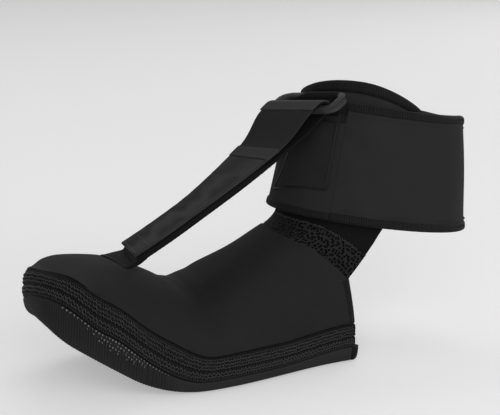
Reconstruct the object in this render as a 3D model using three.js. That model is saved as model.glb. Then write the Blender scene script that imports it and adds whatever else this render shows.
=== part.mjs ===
// Soft ankle foot orthosis: a closed-toe, open-heel sock with a curled-up sole, an ankle cuff that
// closes at the back with hook and loop, and a strap that pulls the toes up through a plastic ring.
// Millimetres. Toes point to -X, the cuff's seam side is -Y, +Z is up and the sole rests on Z = 0.
import * as THREE from "three";

// ---- driving dimensions -------------------------------------------------------------------------
const toeTipX = -126;
const toeDrift = 16;
const soleRearX = 50;
const ballX = -44;
const ballHalfWidth = 47;
const heelHalfWidth = 31;
const toeCurlRadius = 75;
const toeCurlAngle = THREE.MathUtils.degToRad(33);
const fabric = 3;
const fit = 0.35;
const seamGap = 0.8;
const tapeWidth = 12;

const cuffCentre = { x: 70, z: 71.5 };
const cuffTilt = THREE.MathUtils.degToRad(9.5);
const cuffHeight = 62;
const cuffBottom = { long: 57, wide: 43 };
const cuffTop = { long: 48, wide: 39.5, back: 4 };
const bindingHeight = 5;
const bindingProud = 0.8;

const strapWidth = 30;
const webbing = 1.5;
const strapSag = 3.6;
const strapFoot = new THREE.Vector3(-69, 0, 62);
const strapHead = new THREE.Vector3(
  cuffCentre.x + cuffHeight * Math.sin(cuffTilt) - 59.733,
  -18,
  cuffCentre.z + cuffHeight * Math.cos(cuffTilt) - 0.45,
);
const ringTurn = THREE.MathUtils.degToRad(27);
const ringRise = THREE.MathUtils.degToRad(23);
const ringTilt = THREE.MathUtils.degToRad(5);
const ringBarRadius = 2;
const ringBarSpacing = 13.5;
const ringPlay = 2.4;

const degrees = THREE.MathUtils.degToRad;
const { lerp, smoothstep } = THREE.MathUtils;

// ---- materials ----------------------------------------------------------------------------------
const looks = {
  upper: [0x17171a, 0.8],
  sole: [0x2c2c2e, 0.85],
  tape: [0x111113, 0.9],
  foam: [0x1d1d20, 0.95],
  cuff: [0x131315, 0.75],
  binding: [0x1a1a1c, 0.9],
  webbing: [0x1f1f21, 0.85],
  hookBack: [0x38383a, 0.7],
  loop: [0x161617, 0.97],
  ring: [0x47474a, 0.35],
};

// Each sub-part gets its own material, so its colour can be changed alone.
function material(look) {
  const [color, roughness] = looks[look];
  return new THREE.MeshStandardMaterial({ color, roughness, metalness: 0 });
}

const group = new THREE.Group();

function add(name, look, geometry, parent = group) {
  const mesh = new THREE.Mesh(geometry, material(look));
  mesh.name = name;
  parent.add(mesh);
  return mesh;
}

// ---- sheets -------------------------------------------------------------------------------------
// A sheet of cloth is a closed solid between two depths of one surface. place(u, v, depth) gives the
// point; from and to may depend on u and v, so a sheet can taper. A closed sheet joins end to end in u.
function sheet(place, { u, v, from = 0, to, across = 12, along = 24, closed = false }) {
  const depthOf = (depth, a, b) => (typeof depth === "function" ? depth(a, b) : depth);
  const rows = closed ? along : along + 1;
  const ring = 2 * (across + 1);
  const positions = [];
  for (let i = 0; i < rows; i += 1) {
    const a = lerp(u[0], u[1], i / along);
    for (let k = 0; k < ring; k += 1) {
      const outside = k <= across;
      const b = lerp(v[0], v[1], (outside ? k : ring - 1 - k) / across);
      positions.push(...place(a, b, depthOf(outside ? from : to, a, b)).toArray());
    }
  }
  const index = [];
  const quad = (a, b, c, d) => index.push(a, b, c, a, c, d);
  for (let i = 0; i < along; i += 1) {
    const here = i * ring;
    const next = ((i + 1) % rows) * ring;
    for (let k = 0; k < ring; k += 1) {
      const l = (k + 1) % ring;
      quad(here + k, next + k, next + l, here + l);
    }
  }
  if (!closed) {
    const last = along * ring;
    for (let k = 0; k < across; k += 1) {
      const opposite = ring - 1 - k;
      quad(k, k + 1, opposite - 1, opposite);
      quad(last + k, last + opposite, last + opposite - 1, last + k + 1);
    }
  }
  return faceOut(positions, index);
}

// Turns every triangle over if they enclose a negative volume.
function faceOut(positions, index) {
  const at = (i) => new THREE.Vector3().fromArray(positions, 3 * i);
  let volume = 0;
  for (let i = 0; i < index.length; i += 3) {
    volume += at(index[i]).dot(at(index[i + 1]).cross(at(index[i + 2])));
  }
  const geometry = new THREE.BufferGeometry();
  geometry.setAttribute("position", new THREE.Float32BufferAttribute(positions, 3));
  geometry.setIndex(volume < 0 ? index.reverse() : index);
  geometry.computeVertexNormals();
  return geometry;
}

// ---- foot sleeve --------------------------------------------------------------------------------
const toeRoundStart = toeTipX + 46;
const driftStart = toeRoundStart + 12;
const curlStart = ballX + 2;
const curlEnd = curlStart - toeCurlRadius * Math.sin(toeCurlAngle);
const noseStart = toeTipX + 9;
const instepX = 10;

// Half the width of the sleeve: widest at the ball, rounded at the toe, narrower to the rear.
function halfWidth(x) {
  const round = Math.max(0, (toeRoundStart - x) / (toeRoundStart - toeTipX));
  const waist = smoothstep(x, ballX, soleRearX);
  return lerp(ballHalfWidth, heelHalfWidth, waist) * Math.sqrt(Math.max(0.002, 1 - round * round));
}

// The toe is longest on the -Y side, over the big toe, so its outline drifts that way.
const drift = (x) => -toeDrift * Math.max(0, (driftStart - x) / (driftStart - toeTipX)) ** 2;

// The underside is flat behind the ball, curls up along an arc, then rises straight to the toe.
function curlZ(x) {
  if (x >= curlStart) return 0;
  const run = Math.min(curlStart - x, curlStart - curlEnd);
  const arc = toeCurlRadius - Math.sqrt(toeCurlRadius ** 2 - run ** 2);
  return arc + Math.tan(toeCurlAngle) * Math.max(0, curlEnd - x);
}
const tapeLift = (x) => 6 + 3 * smoothstep(x, 0, soleRearX) + 11 * smoothstep(-x, 44, 98);
const tapeDip = 5;
const tapeCant = 0.27;
function tapeLowZ(x, y) {
  const dip = tapeDip * smoothstep(-x, 86, -toeTipX);
  return curlZ(x) + tapeLift(x) - dip - tapeCant * y * smoothstep(-x, 96, -toeTipX);
}
// The tape widens round the toe.
const tapeWide = (x) => tapeWidth * (1 + 0.375 * smoothstep(-x, 38, 64));
const tapeHighZ = (x, y) => tapeLowZ(x, y) + tapeWide(x);

// Under the toe's tip the sole turns up to meet the tape.
function bottomZ(x) {
  const nose = Math.max(0, (noseStart - x) / (noseStart - toeTipX));
  return curlZ(x) + (tapeLift(toeTipX) - tapeDip - 2) * (1 - Math.sqrt(Math.max(0, 1 - nose * nose)));
}

// The ridge over the toes and instep: a gentle hollow behind the toes, then a climb to the ankle.
const climbStartX = -40;
const noseRun = 20;
function ridgeZ(x) {
  const toes = 46 + 15.5 * smoothstep(-x, 40, 81);
  const climb = 24 * (Math.max(0, x - climbStartX) / (instepX - climbStartX)) ** 1.35;
  const nose = Math.max(0, (toeTipX + noseRun - x) / noseRun);
  return lerp(toes + climb, tapeHighZ(toeTipX + 1, 0) + 2.4, nose ** 2.4);
}

const roundness = 0.82;

// An arch from the seam tape over the foot. angle runs 0 to 180 degrees from the -Y seam.
function arch(x, angle, depth) {
  const side = -Math.sign(Math.cos(angle)) * Math.abs(Math.cos(angle)) ** roundness;
  const y = side * Math.max(halfWidth(x) - depth, 0.6);
  const base = tapeHighZ(x, y) + seamGap;
  return new THREE.Vector3(x, y + drift(x), base + Math.max(ridgeZ(x) - base - depth, 0.6) * Math.sin(angle));
}

// The rear edge of the upper: upright beside the heel, then swept forward to the front of the ankle.
const cornerAngle = degrees(21);
const heelEdgeX = 47;
function upperRearX(angle) {
  const up = Math.min(angle, Math.PI - angle);
  if (up < cornerAngle) return lerp(heelEdgeX, heelEdgeX - 3, up / cornerAngle);
  const sweep = Math.sin(((up - cornerAngle) / (Math.PI / 2 - cornerAngle)) * (Math.PI / 2));
  return instepX + (heelEdgeX - 3 - instepX) * (1 - sweep);
}

// The toe box swings about the ball of the foot, so the cut in the upper opens like a wedge.
const toeHinge = new THREE.Vector3(ballX - 1, 0, 2);
const wedge = 0.17;
const cutX = (z) => toeHinge.x - fit - wedge * Math.max(0, z - toeHinge.z);

function midfootUpper(share, angle, depth) {
  const x = lerp(toeHinge.x + fit, upperRearX(angle), share);
  return arch(x, angle, depth);
}

function toeUpper(share, angle, depth) {
  const behind = arch(toeHinge.x, angle, depth);
  return arch(lerp(toeTipX + 1.5, cutX(behind.z), share), angle, depth);
}

const heelBindingShare = 0.945;
add("upper_midfoot", "upper", sheet(midfootUpper, {
  u: [0, heelBindingShare - 0.004], v: [0, Math.PI], to: fabric, along: 14, across: 22,
}));
add("toe_box", "upper", sheet(toeUpper, { u: [0, 1], v: [0, Math.PI], to: fabric, along: 13, across: 22 }));

// The sock's lining bridges the wedge, lying inside the toe box with room for it to swing.
const liningThick = 1.2;
const liningEdge = degrees(4);
const liningDepth = (x) => fabric + fit + 3.4 * smoothstep(-x, 28, 44);
add("upper_lining", "foam", sheet(arch, {
  u: [toeHinge.x - 21, toeHinge.x + 21],
  v: [liningEdge, Math.PI - liningEdge],
  from: liningDepth,
  to: (x) => liningDepth(x) + liningThick,
  along: 6,
  across: 16,
}));

// Overlocked edges beside the heel, one each side.
for (const [name, v] of [["near", [0, cornerAngle]], ["far", [Math.PI - cornerAngle, Math.PI]]]) {
  add(`heel_binding_${name}`, "binding", sheet(midfootUpper, {
    u: [heelBindingShare, 1], v, from: -bindingProud, to: fabric + bindingProud, along: 2, across: 8,
  }));
}

// ---- sole and seam tape -------------------------------------------------------------------------
const soleCorner = 7;

// The sole's flat bottom and rounded flanks; v runs -1 to 1 from the -Y edge to the +Y edge.
function soleShape(x, v, depth) {
  const flat = 0.62;
  const wide = Math.max(halfWidth(x) - soleCorner, 0.4);
  const low = bottomZ(x);
  const lift = tapeLowZ(x, Math.sign(v) * halfWidth(x)) - seamGap - low;
  if (Math.abs(v) <= flat) return new THREE.Vector3(x, (wide * v) / flat + drift(x), low + depth);
  const turn = ((Math.abs(v) - flat) / (1 - flat)) * (Math.PI / 2);
  const reach = Math.min(soleCorner, halfWidth(x) * 0.9) - depth;
  const y = Math.sign(v) * (wide + reach * Math.sin(turn));
  return new THREE.Vector3(x, y + drift(x), low + lift - (lift - depth) * Math.cos(turn));
}

const soleBindingX = soleRearX - 5;
add("sole_midfoot", "sole", sheet(soleShape, {
  u: [toeHinge.x + fit, soleBindingX - fit], v: [-1, 1], to: fabric, along: 6, across: 16,
}));
add("sole_toe", "sole", sheet(soleShape, {
  u: [toeTipX + 1.2, toeHinge.x - fit], v: [-1, 1], to: fabric, along: 15, across: 16,
}));
add("sole_rear_binding", "binding", sheet(soleShape, {
  u: [soleBindingX, soleRearX], v: [-1, 1], to: fabric + 1, along: 1, across: 16,
}));

// A foam footbed lies inside, split at the ball like the sole.
const footbedThick = 3;
function footbed(x, v, depth) {
  const inside = halfWidth(x) - soleCorner;
  return new THREE.Vector3(x, v * Math.max(inside, 1) + drift(x), bottomZ(x) + fabric + fit + depth);
}
add("footbed", "foam", sheet(footbed, {
  u: [toeHinge.x + 1, soleBindingX - 1], v: [-1, 1], to: footbedThick, along: 8, across: 2,
}));
add("toe_footbed", "foam", sheet(footbed, {
  u: [toeTipX + 16, toeHinge.x - 1], v: [-1, 1], to: footbedThick, along: 12, across: 2,
}));

// The flat seam tape stands between sole and upper.
const tapeProud = 0.5;
const toeTapeThick = 1.2;
function besideTape(x, side, v, depth) {
  const y = side * (halfWidth(x) - depth);
  return new THREE.Vector3(x, y + drift(x), tapeLowZ(x, y) + tapeWide(x) * v);
}
for (const [name, side] of [["near", -1], ["far", 1]]) {
  add(`seam_tape_${name}`, "tape", sheet((x, v, depth) => besideTape(x, side, v, depth), {
    u: [toeHinge.x + fit, heelEdgeX], v: [0, 1], from: -tapeProud, to: fabric, along: 8, across: 2,
  }));
}

// Round the toe, the outline turns through half an ellipse from the -Y side to the +Y side. travel
// runs -1 to 1 along it.
function toeTape(travel, v, depth) {
  const straight = 0.2;
  const side = Math.sign(travel);
  const reach = Math.abs(travel);
  if (reach > 1 - straight) {
    const share = (reach - 1 + straight) / straight;
    const end = cutX(tapeLowZ(ballX, 0) + tapeWide(ballX) * v);
    return besideTape(lerp(toeRoundStart, end, share), side, v, depth);
  }
  const turn = (reach / (1 - straight)) * (Math.PI / 2);
  const x = toeRoundStart - (toeRoundStart - toeTipX - depth) * Math.cos(turn);
  const y = side * (halfWidth(toeRoundStart) - depth) * Math.sin(turn);
  return new THREE.Vector3(x, y + drift(x), tapeLowZ(x, y) + tapeWide(x) * v);
}
add("toe_seam_tape", "tape", sheet(toeTape, {
  u: [-1, 1], v: [0, 1], from: -tapeProud, to: toeTapeThick, along: 40, across: 2,
}));

// ---- cuff ---------------------------------------------------------------------------------------
// A tapered oval, leaning back with the leg. angle 0 is the front and 90 degrees the -Y side.
const cuff = new THREE.Group();
cuff.position.set(cuffCentre.x, 0, cuffCentre.z);
cuff.rotation.y = cuffTilt;
group.add(cuff);

function cuffPoint(angle, v, depth) {
  const long = lerp(cuffBottom.long, cuffTop.long, v) - depth;
  const wide = lerp(cuffBottom.wide, cuffTop.wide, v) - depth;
  const x = -cuffTop.back * v - long * Math.cos(angle);
  return new THREE.Vector3(x, -wide * Math.sin(angle), cuffHeight * v);
}

const hemShare = bindingHeight / cuffHeight;
const body = [hemShare + 0.006, 1 - hemShare - 0.006];
const flapStart = degrees(47);
const flapEnd = degrees(186);
const overlapStart = degrees(112);
const patchStart = degrees(8);
const hookThick = 0.9;
const underFlap = fabric + hookThick * 2 + 3 * fit;

// The wrap runs from the patch round the front and far side, then sinks under the flap's end. Its
// top edge dips at the front, where the ring hangs.
const frontDip = 0.11;
const wrapV = (angle, v) => v * (1 - frontDip * smoothstep(angle, degrees(-62), degrees(-25)));
const wrapPoint = (angle, v, depth) => cuffPoint(angle, wrapV(angle, v), depth);
const seamAngle = degrees(1.2);
const wrapSpan = [overlapStart - 2 * Math.PI, flapStart - seamAngle];
const wrapSink = (angle) => underFlap * smoothstep(-angle, degrees(140), degrees(168));
const wrapProud = (angle) => bindingProud * (1 - smoothstep(-angle, degrees(140), degrees(160)));
const bindingThick = fabric + 0.3;
const wrapDepth = (extra) => (angle) => wrapSink(angle) + extra;
add("cuff_wrap", "cuff", sheet(wrapPoint, {
  u: wrapSpan, v: body, from: wrapDepth(0), to: wrapDepth(fabric), along: 44, across: 2,
}), cuff);
for (const [name, v] of [["bottom", [0, hemShare]], ["top", [1 - hemShare, 1]]]) {
  add(`wrap_binding_${name}`, "binding", sheet(wrapPoint, {
    u: wrapSpan,
    v,
    from: (angle) => wrapSink(angle) - wrapProud(angle),
    to: wrapDepth(bindingThick),
    along: 44,
    across: 1,
  }), cuff);
}
add("closure_loop", "loop", sheet(cuffPoint, {
  u: [overlapStart + degrees(4), flapEnd],
  v: [0.14, 0.86],
  from: underFlap - fit - hookThick,
  to: underFlap - fit,
  along: 14,
  across: 3,
}), cuff);

// The flap is the near half of the cuff. It is sewn on along the patch and closes at the back.
const endSeam = flapEnd - degrees(4);
const flap = new THREE.Group();
cuff.add(flap);
add("cuff_flap", "cuff", sheet(cuffPoint, {
  u: [flapStart, endSeam], v: body, to: fabric, along: 22, across: 2,
}), flap);
for (const [name, v] of [["bottom", [0, hemShare]], ["top", [1 - hemShare, 1]]]) {
  add(`flap_binding_${name}`, "binding", sheet(cuffPoint, {
    u: [flapStart, endSeam], v, from: -bindingProud, to: bindingThick, along: 22, across: 1,
  }), flap);
}
add("flap_binding_end", "binding", sheet(cuffPoint, {
  u: [endSeam + degrees(0.4), flapEnd], v: [0, 1], from: -bindingProud, to: bindingThick, along: 2, across: 6,
}), flap);
add("closure_hook", "loop", sheet(cuffPoint, {
  u: [degrees(146), endSeam - degrees(2)],
  v: [0.16, 0.84],
  from: fabric + fit,
  to: fabric + fit + hookThick,
  along: 8,
  across: 3,
}), flap);

// The square patch over the front holds the ring's keeper.
const patchProud = 1.9;
const patchLow = (bindingHeight + 1.82) / cuffHeight;
add("ring_patch", "cuff", sheet(cuffPoint, {
  u: [patchStart, flapStart - seamAngle],
  v: [patchLow, 0.76],
  from: -patchProud,
  to: -fit,
  along: 6,
  across: 3,
}), cuff);

// A padded tongue stands inside the front of the cuff and shows above it.
const tongueReach = degrees(100);
const tonguePeak = degrees(42);
const tongueFarFall = degrees(78);
const tongueRise = 0.19;
function tongueTopV(angle) {
  const fall = angle > tonguePeak ? tongueReach - tonguePeak : tongueFarFall;
  const away = Math.min(1, Math.abs(angle - tonguePeak) / fall);
  return 1 + tongueRise * Math.cos(away * (Math.PI / 2)) ** (angle > tonguePeak ? 0.8 : 1.3);
}
const tongueBottomV = 0.34;
const tongueDepth = fabric + 0.9;
const tongueThick = 4;
function tonguePoint(angle, share, depth) {
  return cuffPoint(angle, lerp(tongueBottomV, tongueTopV(angle), share), depth);
}
const tongueHem = 0.92;
add("tongue", "foam", sheet(tonguePoint, {
  u: [-tongueReach, tongueReach],
  v: [0, tongueHem - 0.01],
  from: tongueDepth,
  to: tongueDepth + tongueThick,
  along: 24,
  across: 3,
}), cuff);
add("tongue_binding", "binding", sheet(tonguePoint, {
  u: [-tongueReach, tongueReach],
  v: [tongueHem, 1],
  from: tongueDepth - 0.4,
  to: tongueDepth + tongueThick + 0.4,
  along: 24,
  across: 2,
}), cuff);

// ---- ankle: mesh tape and panel -----------------------------------------------------------------
// Both lie on one surface that bends from the upper's rear edge up to a ring inside the cuff.
cuff.updateMatrixWorld(true);
const ankleReach = degrees(88);
const ankleInset = fabric + 3.6;
const meshShare = 0.5;
function anklePoint(angle, share, depth) {
  const start = arch(upperRearX(angle) + fit, angle, depth);
  const turn = lerp(ankleReach, -ankleReach, (angle - cornerAngle) / (Math.PI - 2 * cornerAngle));
  const end = cuff.localToWorld(cuffPoint(turn, 0.2, ankleInset + depth));
  const bend = Math.sin(angle) ** 2;
  const middle = start.clone().lerp(end, 0.5).add(new THREE.Vector3(5 * bend, 0, -8 * bend));
  return new THREE.QuadraticBezierCurve3(start, middle, end).getPoint(share);
}
const ankleSpan = [cornerAngle + degrees(0.5), Math.PI - cornerAngle - degrees(0.5)];
add("mesh_tape", "tape", sheet(anklePoint, {
  u: ankleSpan, v: [0.02, meshShare], from: -0.3, to: fabric - 0.6, along: 30, across: 3,
}));
add("ankle_panel", "upper", sheet(anklePoint, {
  u: ankleSpan, v: [meshShare + 0.02, 1], to: fabric - 0.8, along: 30, across: 4,
}));

// ---- strap --------------------------------------------------------------------------------------
const strapRun = strapHead.clone().sub(strapFoot);
const strapLength = strapRun.length();
const strapAlong = strapRun.clone().normalize();
const strapFootTurn = degrees(-6);

// The direction across the strap, turned about the upright and tilted with its near end up.
function acrossStrap(turn, tilt) {
  const level = Math.cos(tilt);
  return new THREE.Vector3(level * Math.sin(turn), -level * Math.cos(turn), Math.sin(tilt));
}

// p runs along the strap, lift stands off it, and w runs across it from -1 to 1 (near edge). The
// strap turns on its way up, from square to the toes to square to the ring.
function strapPoint(p, lift, w) {
  const share = THREE.MathUtils.clamp(p / strapLength, 0, 1);
  const twist = smoothstep(share, 0.3, 0.96);
  const across = acrossStrap(lerp(strapFootTurn, ringTurn, twist), ringTilt * twist);
  const outward = across.clone().cross(strapAlong).normalize();
  const sag = -4 * strapSag * share * (1 - share);
  return strapFoot.clone()
    .addScaledVector(strapAlong, p)
    .addScaledVector(outward, lift + sag)
    .addScaledVector(across, (w * strapWidth) / 2);
}

// A path in (p, lift), thickened to one side, becomes a strip of webbing.
function strip(path, { thick = webbing, steps = 30, half = 1 } = {}) {
  const place = (t, w, depth) => {
    const spot = path.getPoint(t);
    const tangent = path.getTangent(t);
    return strapPoint(spot.x - tangent.y * depth, spot.y + tangent.x * depth, w);
  };
  return sheet(place, { u: [0, 1], v: [-half, half], to: thick, along: steps, across: 2 });
}

const foldRadius = ringBarRadius + ringPlay;
const returnStart = strapLength - 5;
const hemSpan = [0.695 * strapLength, 0.76 * strapLength];
const hemThick = webbing + 0.8;
const hookTapeThick = webbing + 0.2;
const layerGap = webbing + 0.5;
const strapEnd = 3;

function straight(from, to, lift) {
  return new THREE.LineCurve(new THREE.Vector2(from, lift), new THREE.Vector2(to, lift));
}

// The lower run leaves the toe, turns round the ring's bar and ends where the return run is sewn on.
const lowerPath = new THREE.CurvePath();
lowerPath.add(straight(strapEnd, strapLength, 0));
lowerPath.add(new THREE.EllipseCurve(
  strapLength, foldRadius, foldRadius, foldRadius, -Math.PI / 2, Math.PI / 2));
lowerPath.add(straight(strapLength, returnStart + 2 * fit, 2 * foldRadius));
add("strap_lower", "webbing", strip(lowerPath, { thick: -webbing, steps: 48 }));

// The return run comes down over the lower one and carries the hook tape to the toe.
const returnPath = new THREE.CubicBezierCurve(
  new THREE.Vector2(returnStart, 2 * foldRadius),
  new THREE.Vector2(returnStart - 6, 2 * foldRadius),
  new THREE.Vector2(hemSpan[1] + 6, layerGap + 1),
  new THREE.Vector2(hemSpan[1] + fit, layerGap),
);
add("strap_return", "webbing", strip(returnPath, { steps: 12 }));
add("strap_hem", "webbing", strip(straight(...hemSpan, layerGap), { thick: hemThick, steps: 3 }));
add("hook_tape", "hookBack", strip(straight(strapEnd, hemSpan[0] - fit, layerGap), {
  thick: hookTapeThick, steps: 14,
}));

// The strap is sewn to the toe box by a tab of webbing.
const tabStart = strapFoot.x - 9;
const tabLength = 14;
add("strap_anchor", "webbing", sheet((x, w, depth) => {
  const reach = (w * strapWidth * 0.5) / halfWidth(x);
  const side = Math.acos(Math.abs(reach) ** (1 / roundness));
  return arch(x, reach > 0 ? Math.PI - side : side, depth);
}, { u: [tabStart, tabStart + tabLength], v: [-1, 1], from: -webbing, to: -fit, along: 5, across: 6 }));

// ---- ring and keeper ----------------------------------------------------------------------------
const ringAcross = acrossStrap(ringTurn, ringTilt);
const inward = new THREE.Vector3(Math.cos(ringTurn), Math.sin(ringTurn), 0);
const upward = ringAcross.clone().cross(inward);
const ringIn = inward.clone().multiplyScalar(Math.cos(ringRise)).addScaledVector(upward, Math.sin(ringRise));
const ringFace = ringAcross.clone().cross(ringIn).normalize();

function slot(width, height) {
  const r = height / 2;
  const shape = new THREE.Path();
  shape.absarc(width / 2 - r, 0, r, -Math.PI / 2, Math.PI / 2);
  shape.absarc(-width / 2 + r, 0, r, Math.PI / 2, (3 * Math.PI) / 2);
  return shape;
}
const ringWindow = { width: strapWidth + 5.5, height: ringBarSpacing - 2 * ringBarRadius };
const ringEnds = 6;
const ringBevel = 1.1;
const ringShift = 0.8;
const ringOutline = slot(
  ringWindow.width + 2 * (ringEnds - ringBevel), ringBarSpacing + 2 * (ringBarRadius - ringBevel));
const ringHole = slot(ringWindow.width + 2 * ringBevel, ringWindow.height + 2 * ringBevel);
const ringShape = new THREE.Shape(ringOutline.getPoints(7));
ringShape.holes.push(new THREE.Path(ringHole.getPoints(5)));
const ringGeometry = new THREE.ExtrudeGeometry(ringShape, {
  depth: 2 * (ringBarRadius - ringBevel),
  bevelEnabled: true,
  bevelThickness: ringBevel,
  bevelSize: ringBevel,
  bevelSegments: 2,
});
ringGeometry.translate(0, ringBarSpacing / 2, -(ringBarRadius - ringBevel));
const ringGroup = new THREE.Group();
ringGroup.position.copy(strapPoint(strapLength, foldRadius, 0));
ringGroup.position.addScaledVector(ringAcross, foldRadius * strapAlong.dot(ringAcross) + ringShift);
ringGroup.quaternion.setFromRotationMatrix(new THREE.Matrix4().makeBasis(ringAcross, ringIn, ringFace));
group.add(ringGroup);
add("ring", "ring", ringGeometry, ringGroup);

// The keeper is a loop of webbing round the ring's inner bar, with its tail down on the cuff.
const keeperWidth = 24;
const keeperRadius = ringBarRadius + 0.9;
const keeperThick = 1.2;
function teardrop(radius, tail) {
  const shape = new THREE.Path();
  shape.absarc(0, 0, radius, degrees(-30), degrees(200), false);
  shape.lineTo(...tail);
  return shape.getPoints(6);
}
const keeperShape = new THREE.Shape(teardrop(keeperRadius + keeperThick, [-3.8, -11]));
keeperShape.holes.push(new THREE.Path(teardrop(keeperRadius, [-3.2, -7.6])));
const keeperGeometry = new THREE.ExtrudeGeometry(keeperShape, { depth: keeperWidth, bevelEnabled: false });
keeperGeometry.translate(0, 0, -keeperWidth / 2);
const keeper = new THREE.Group();
keeper.position.copy(ringGroup.position).addScaledVector(ringIn, ringBarSpacing);
keeper.quaternion.setFromRotationMatrix(new THREE.Matrix4().makeBasis(inward, upward, ringAcross));
group.add(keeper);
add("ring_keeper", "webbing", keeperGeometry, keeper);

export default group;
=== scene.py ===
"""Soft ankle foot orthosis: the looks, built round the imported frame. Shapes are worked out in
millimetres, in the frame's own axes, and stored in metres."""
import math

import bpy
import numpy as np
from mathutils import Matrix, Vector


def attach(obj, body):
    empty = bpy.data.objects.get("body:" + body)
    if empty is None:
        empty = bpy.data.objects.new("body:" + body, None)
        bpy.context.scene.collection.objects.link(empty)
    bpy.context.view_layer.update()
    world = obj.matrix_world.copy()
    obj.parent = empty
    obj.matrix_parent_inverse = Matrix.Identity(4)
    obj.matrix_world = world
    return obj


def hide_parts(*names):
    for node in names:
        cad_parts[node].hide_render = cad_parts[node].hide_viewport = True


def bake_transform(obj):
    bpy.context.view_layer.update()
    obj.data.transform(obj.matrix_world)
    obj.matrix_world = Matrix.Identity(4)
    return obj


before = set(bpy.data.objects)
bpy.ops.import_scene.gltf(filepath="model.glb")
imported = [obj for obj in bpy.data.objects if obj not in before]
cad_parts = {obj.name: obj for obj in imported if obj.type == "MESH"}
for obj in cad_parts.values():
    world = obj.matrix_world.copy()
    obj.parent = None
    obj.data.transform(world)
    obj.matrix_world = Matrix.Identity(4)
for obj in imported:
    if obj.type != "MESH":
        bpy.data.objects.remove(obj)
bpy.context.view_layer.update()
scene = bpy.context.scene
PI = math.pi


def deg(angle):
    return angle * PI / 180


def lerp(a, b, t):
    return a + (b - a) * t


def smooth(x, low, high):
    t = np.clip((x - low) / (high - low), 0, 1)
    return t * t * (3 - 2 * t)


def point(x, y, z):
    return np.stack(np.broadcast_arrays(x, y, z), axis=-1).astype(float)


# ---- sizes, as the frame has them ---------------------------------------------------------------
TOE_TIP_X, TOE_DRIFT, SOLE_REAR_X = -126, 16, 50
BALL_X, BALL_HALF, HEEL_HALF = -44, 47, 31
CURL_RADIUS, CURL_ANGLE = 75, deg(33)
FABRIC, FIT, SEAM_GAP, TAPE_WIDTH = 3, 0.35, 0.8, 12
CUFF_X, CUFF_Z, CUFF_TILT, CUFF_HEIGHT = 70, 71.5, deg(9.5), 62
STRAP_WIDTH, WEBBING, STRAP_SAG = 30, 1.5, 3.6
STRAP_FOOT, STRAP_HEAD = np.array([-69, 0, 62.0]), np.array([20.5, -18, 132.2])
RING_TURN, RING_RISE, RING_TILT = deg(27), deg(23), deg(5)
BAR_RADIUS, BAR_SPACING, RING_PLAY = 2, 13.5, 2.4

# ---- materials ----------------------------------------------------------------------------------
CLOTH_MAP = "cloth"  # every piece's UV map: millimetres along and across the cloth


class Look:
    """A node material with a shader and the cloth's own coordinates in millimetres."""

    def __init__(self, name, color, roughness, sheen=0.0, specular=0.035):
        self.material = bpy.data.materials.new(name)
        self.material.use_nodes = True
        self.tree = self.material.node_tree
        self.shader = self.tree.nodes["Principled BSDF"]
        self.shader.inputs["Base Color"].default_value = (*color, 1)
        self.shader.inputs["Roughness"].default_value = roughness
        self.shader.inputs["Specular IOR Level"].default_value = specular
        self.shader.inputs["Sheen Weight"].default_value = sheen
        self.shader.inputs["Sheen Roughness"].default_value = 0.45
        self.map = self.node("ShaderNodeUVMap", uv_map=CLOTH_MAP).outputs[0]

    def node(self, kind, _inputs=None, **settings):
        made = self.tree.nodes.new(kind)
        for key, value in settings.items():
            setattr(made, key, value)
        for key, value in (_inputs or {}).items():
            if isinstance(value, bpy.types.NodeSocket):
                self.tree.links.new(value, made.inputs[key])
            else:
                made.inputs[key].default_value = value
        return made

    def math(self, operation, a, b=0.0, c=0.0):
        return self.node("ShaderNodeMath", {0: a, 1: b, 2: c}, operation=operation).outputs[0]

    def stretched(self, along, across):
        """The cloth's coordinates times a scale each way."""
        return self.node("ShaderNodeMapping", {"Vector": self.map, "Scale": (along, across, 1)}).outputs[0]

    def noise(self, along, across, detail=2.0, roughness=0.5):
        return self.node(
            "ShaderNodeTexNoise",
            {"Vector": self.stretched(along, across), "Scale": 1.0, "Detail": detail, "Roughness": roughness},
        ).outputs[0]

    def wave(self, pitch, across=False, distortion=0.0, turn=0.0):
        """Rounded ridges, one each pitch millimetres, running across the cloth or along it."""
        rows = self.node(
            "ShaderNodeMapping", {"Vector": self.map, "Rotation": (0, 0, turn), "Scale": (1, 1, 1)}).outputs[0]
        return self.node(
            "ShaderNodeTexWave",
            {"Vector": rows, "Scale": 0.314159 / pitch, "Distortion": distortion, "Detail": 2.0,
             "Detail Scale": 3.0},
            bands_direction="Y" if across else "X",
        ).outputs["Fac"]

    def ramp(self, value, dark, light):
        """Colour between two greys by a value from 0 to 1."""
        mixed = self.node(
            "ShaderNodeMix", {0: value, 6: (*dark, 1), 7: (*light, 1)}, data_type="RGBA").outputs[2]
        self.tree.links.new(mixed, self.shader.inputs["Base Color"])
        return mixed

    def bump(self, height, distance, strength=1.0):
        bumped = self.node(
            "ShaderNodeBump", {"Height": height, "Distance": distance * 0.001, "Strength": strength}).outputs[0]
        self.tree.links.new(bumped, self.shader.inputs["Normal"])

    def rough(self, value, low, high):
        spread = self.node(
            "ShaderNodeMapRange", {"Value": value, "To Min": low, "To Max": high}).outputs[0]
        self.tree.links.new(spread, self.shader.inputs["Roughness"])


def grey(level, blue=1.04):
    return (level, level, level * blue)


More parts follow.
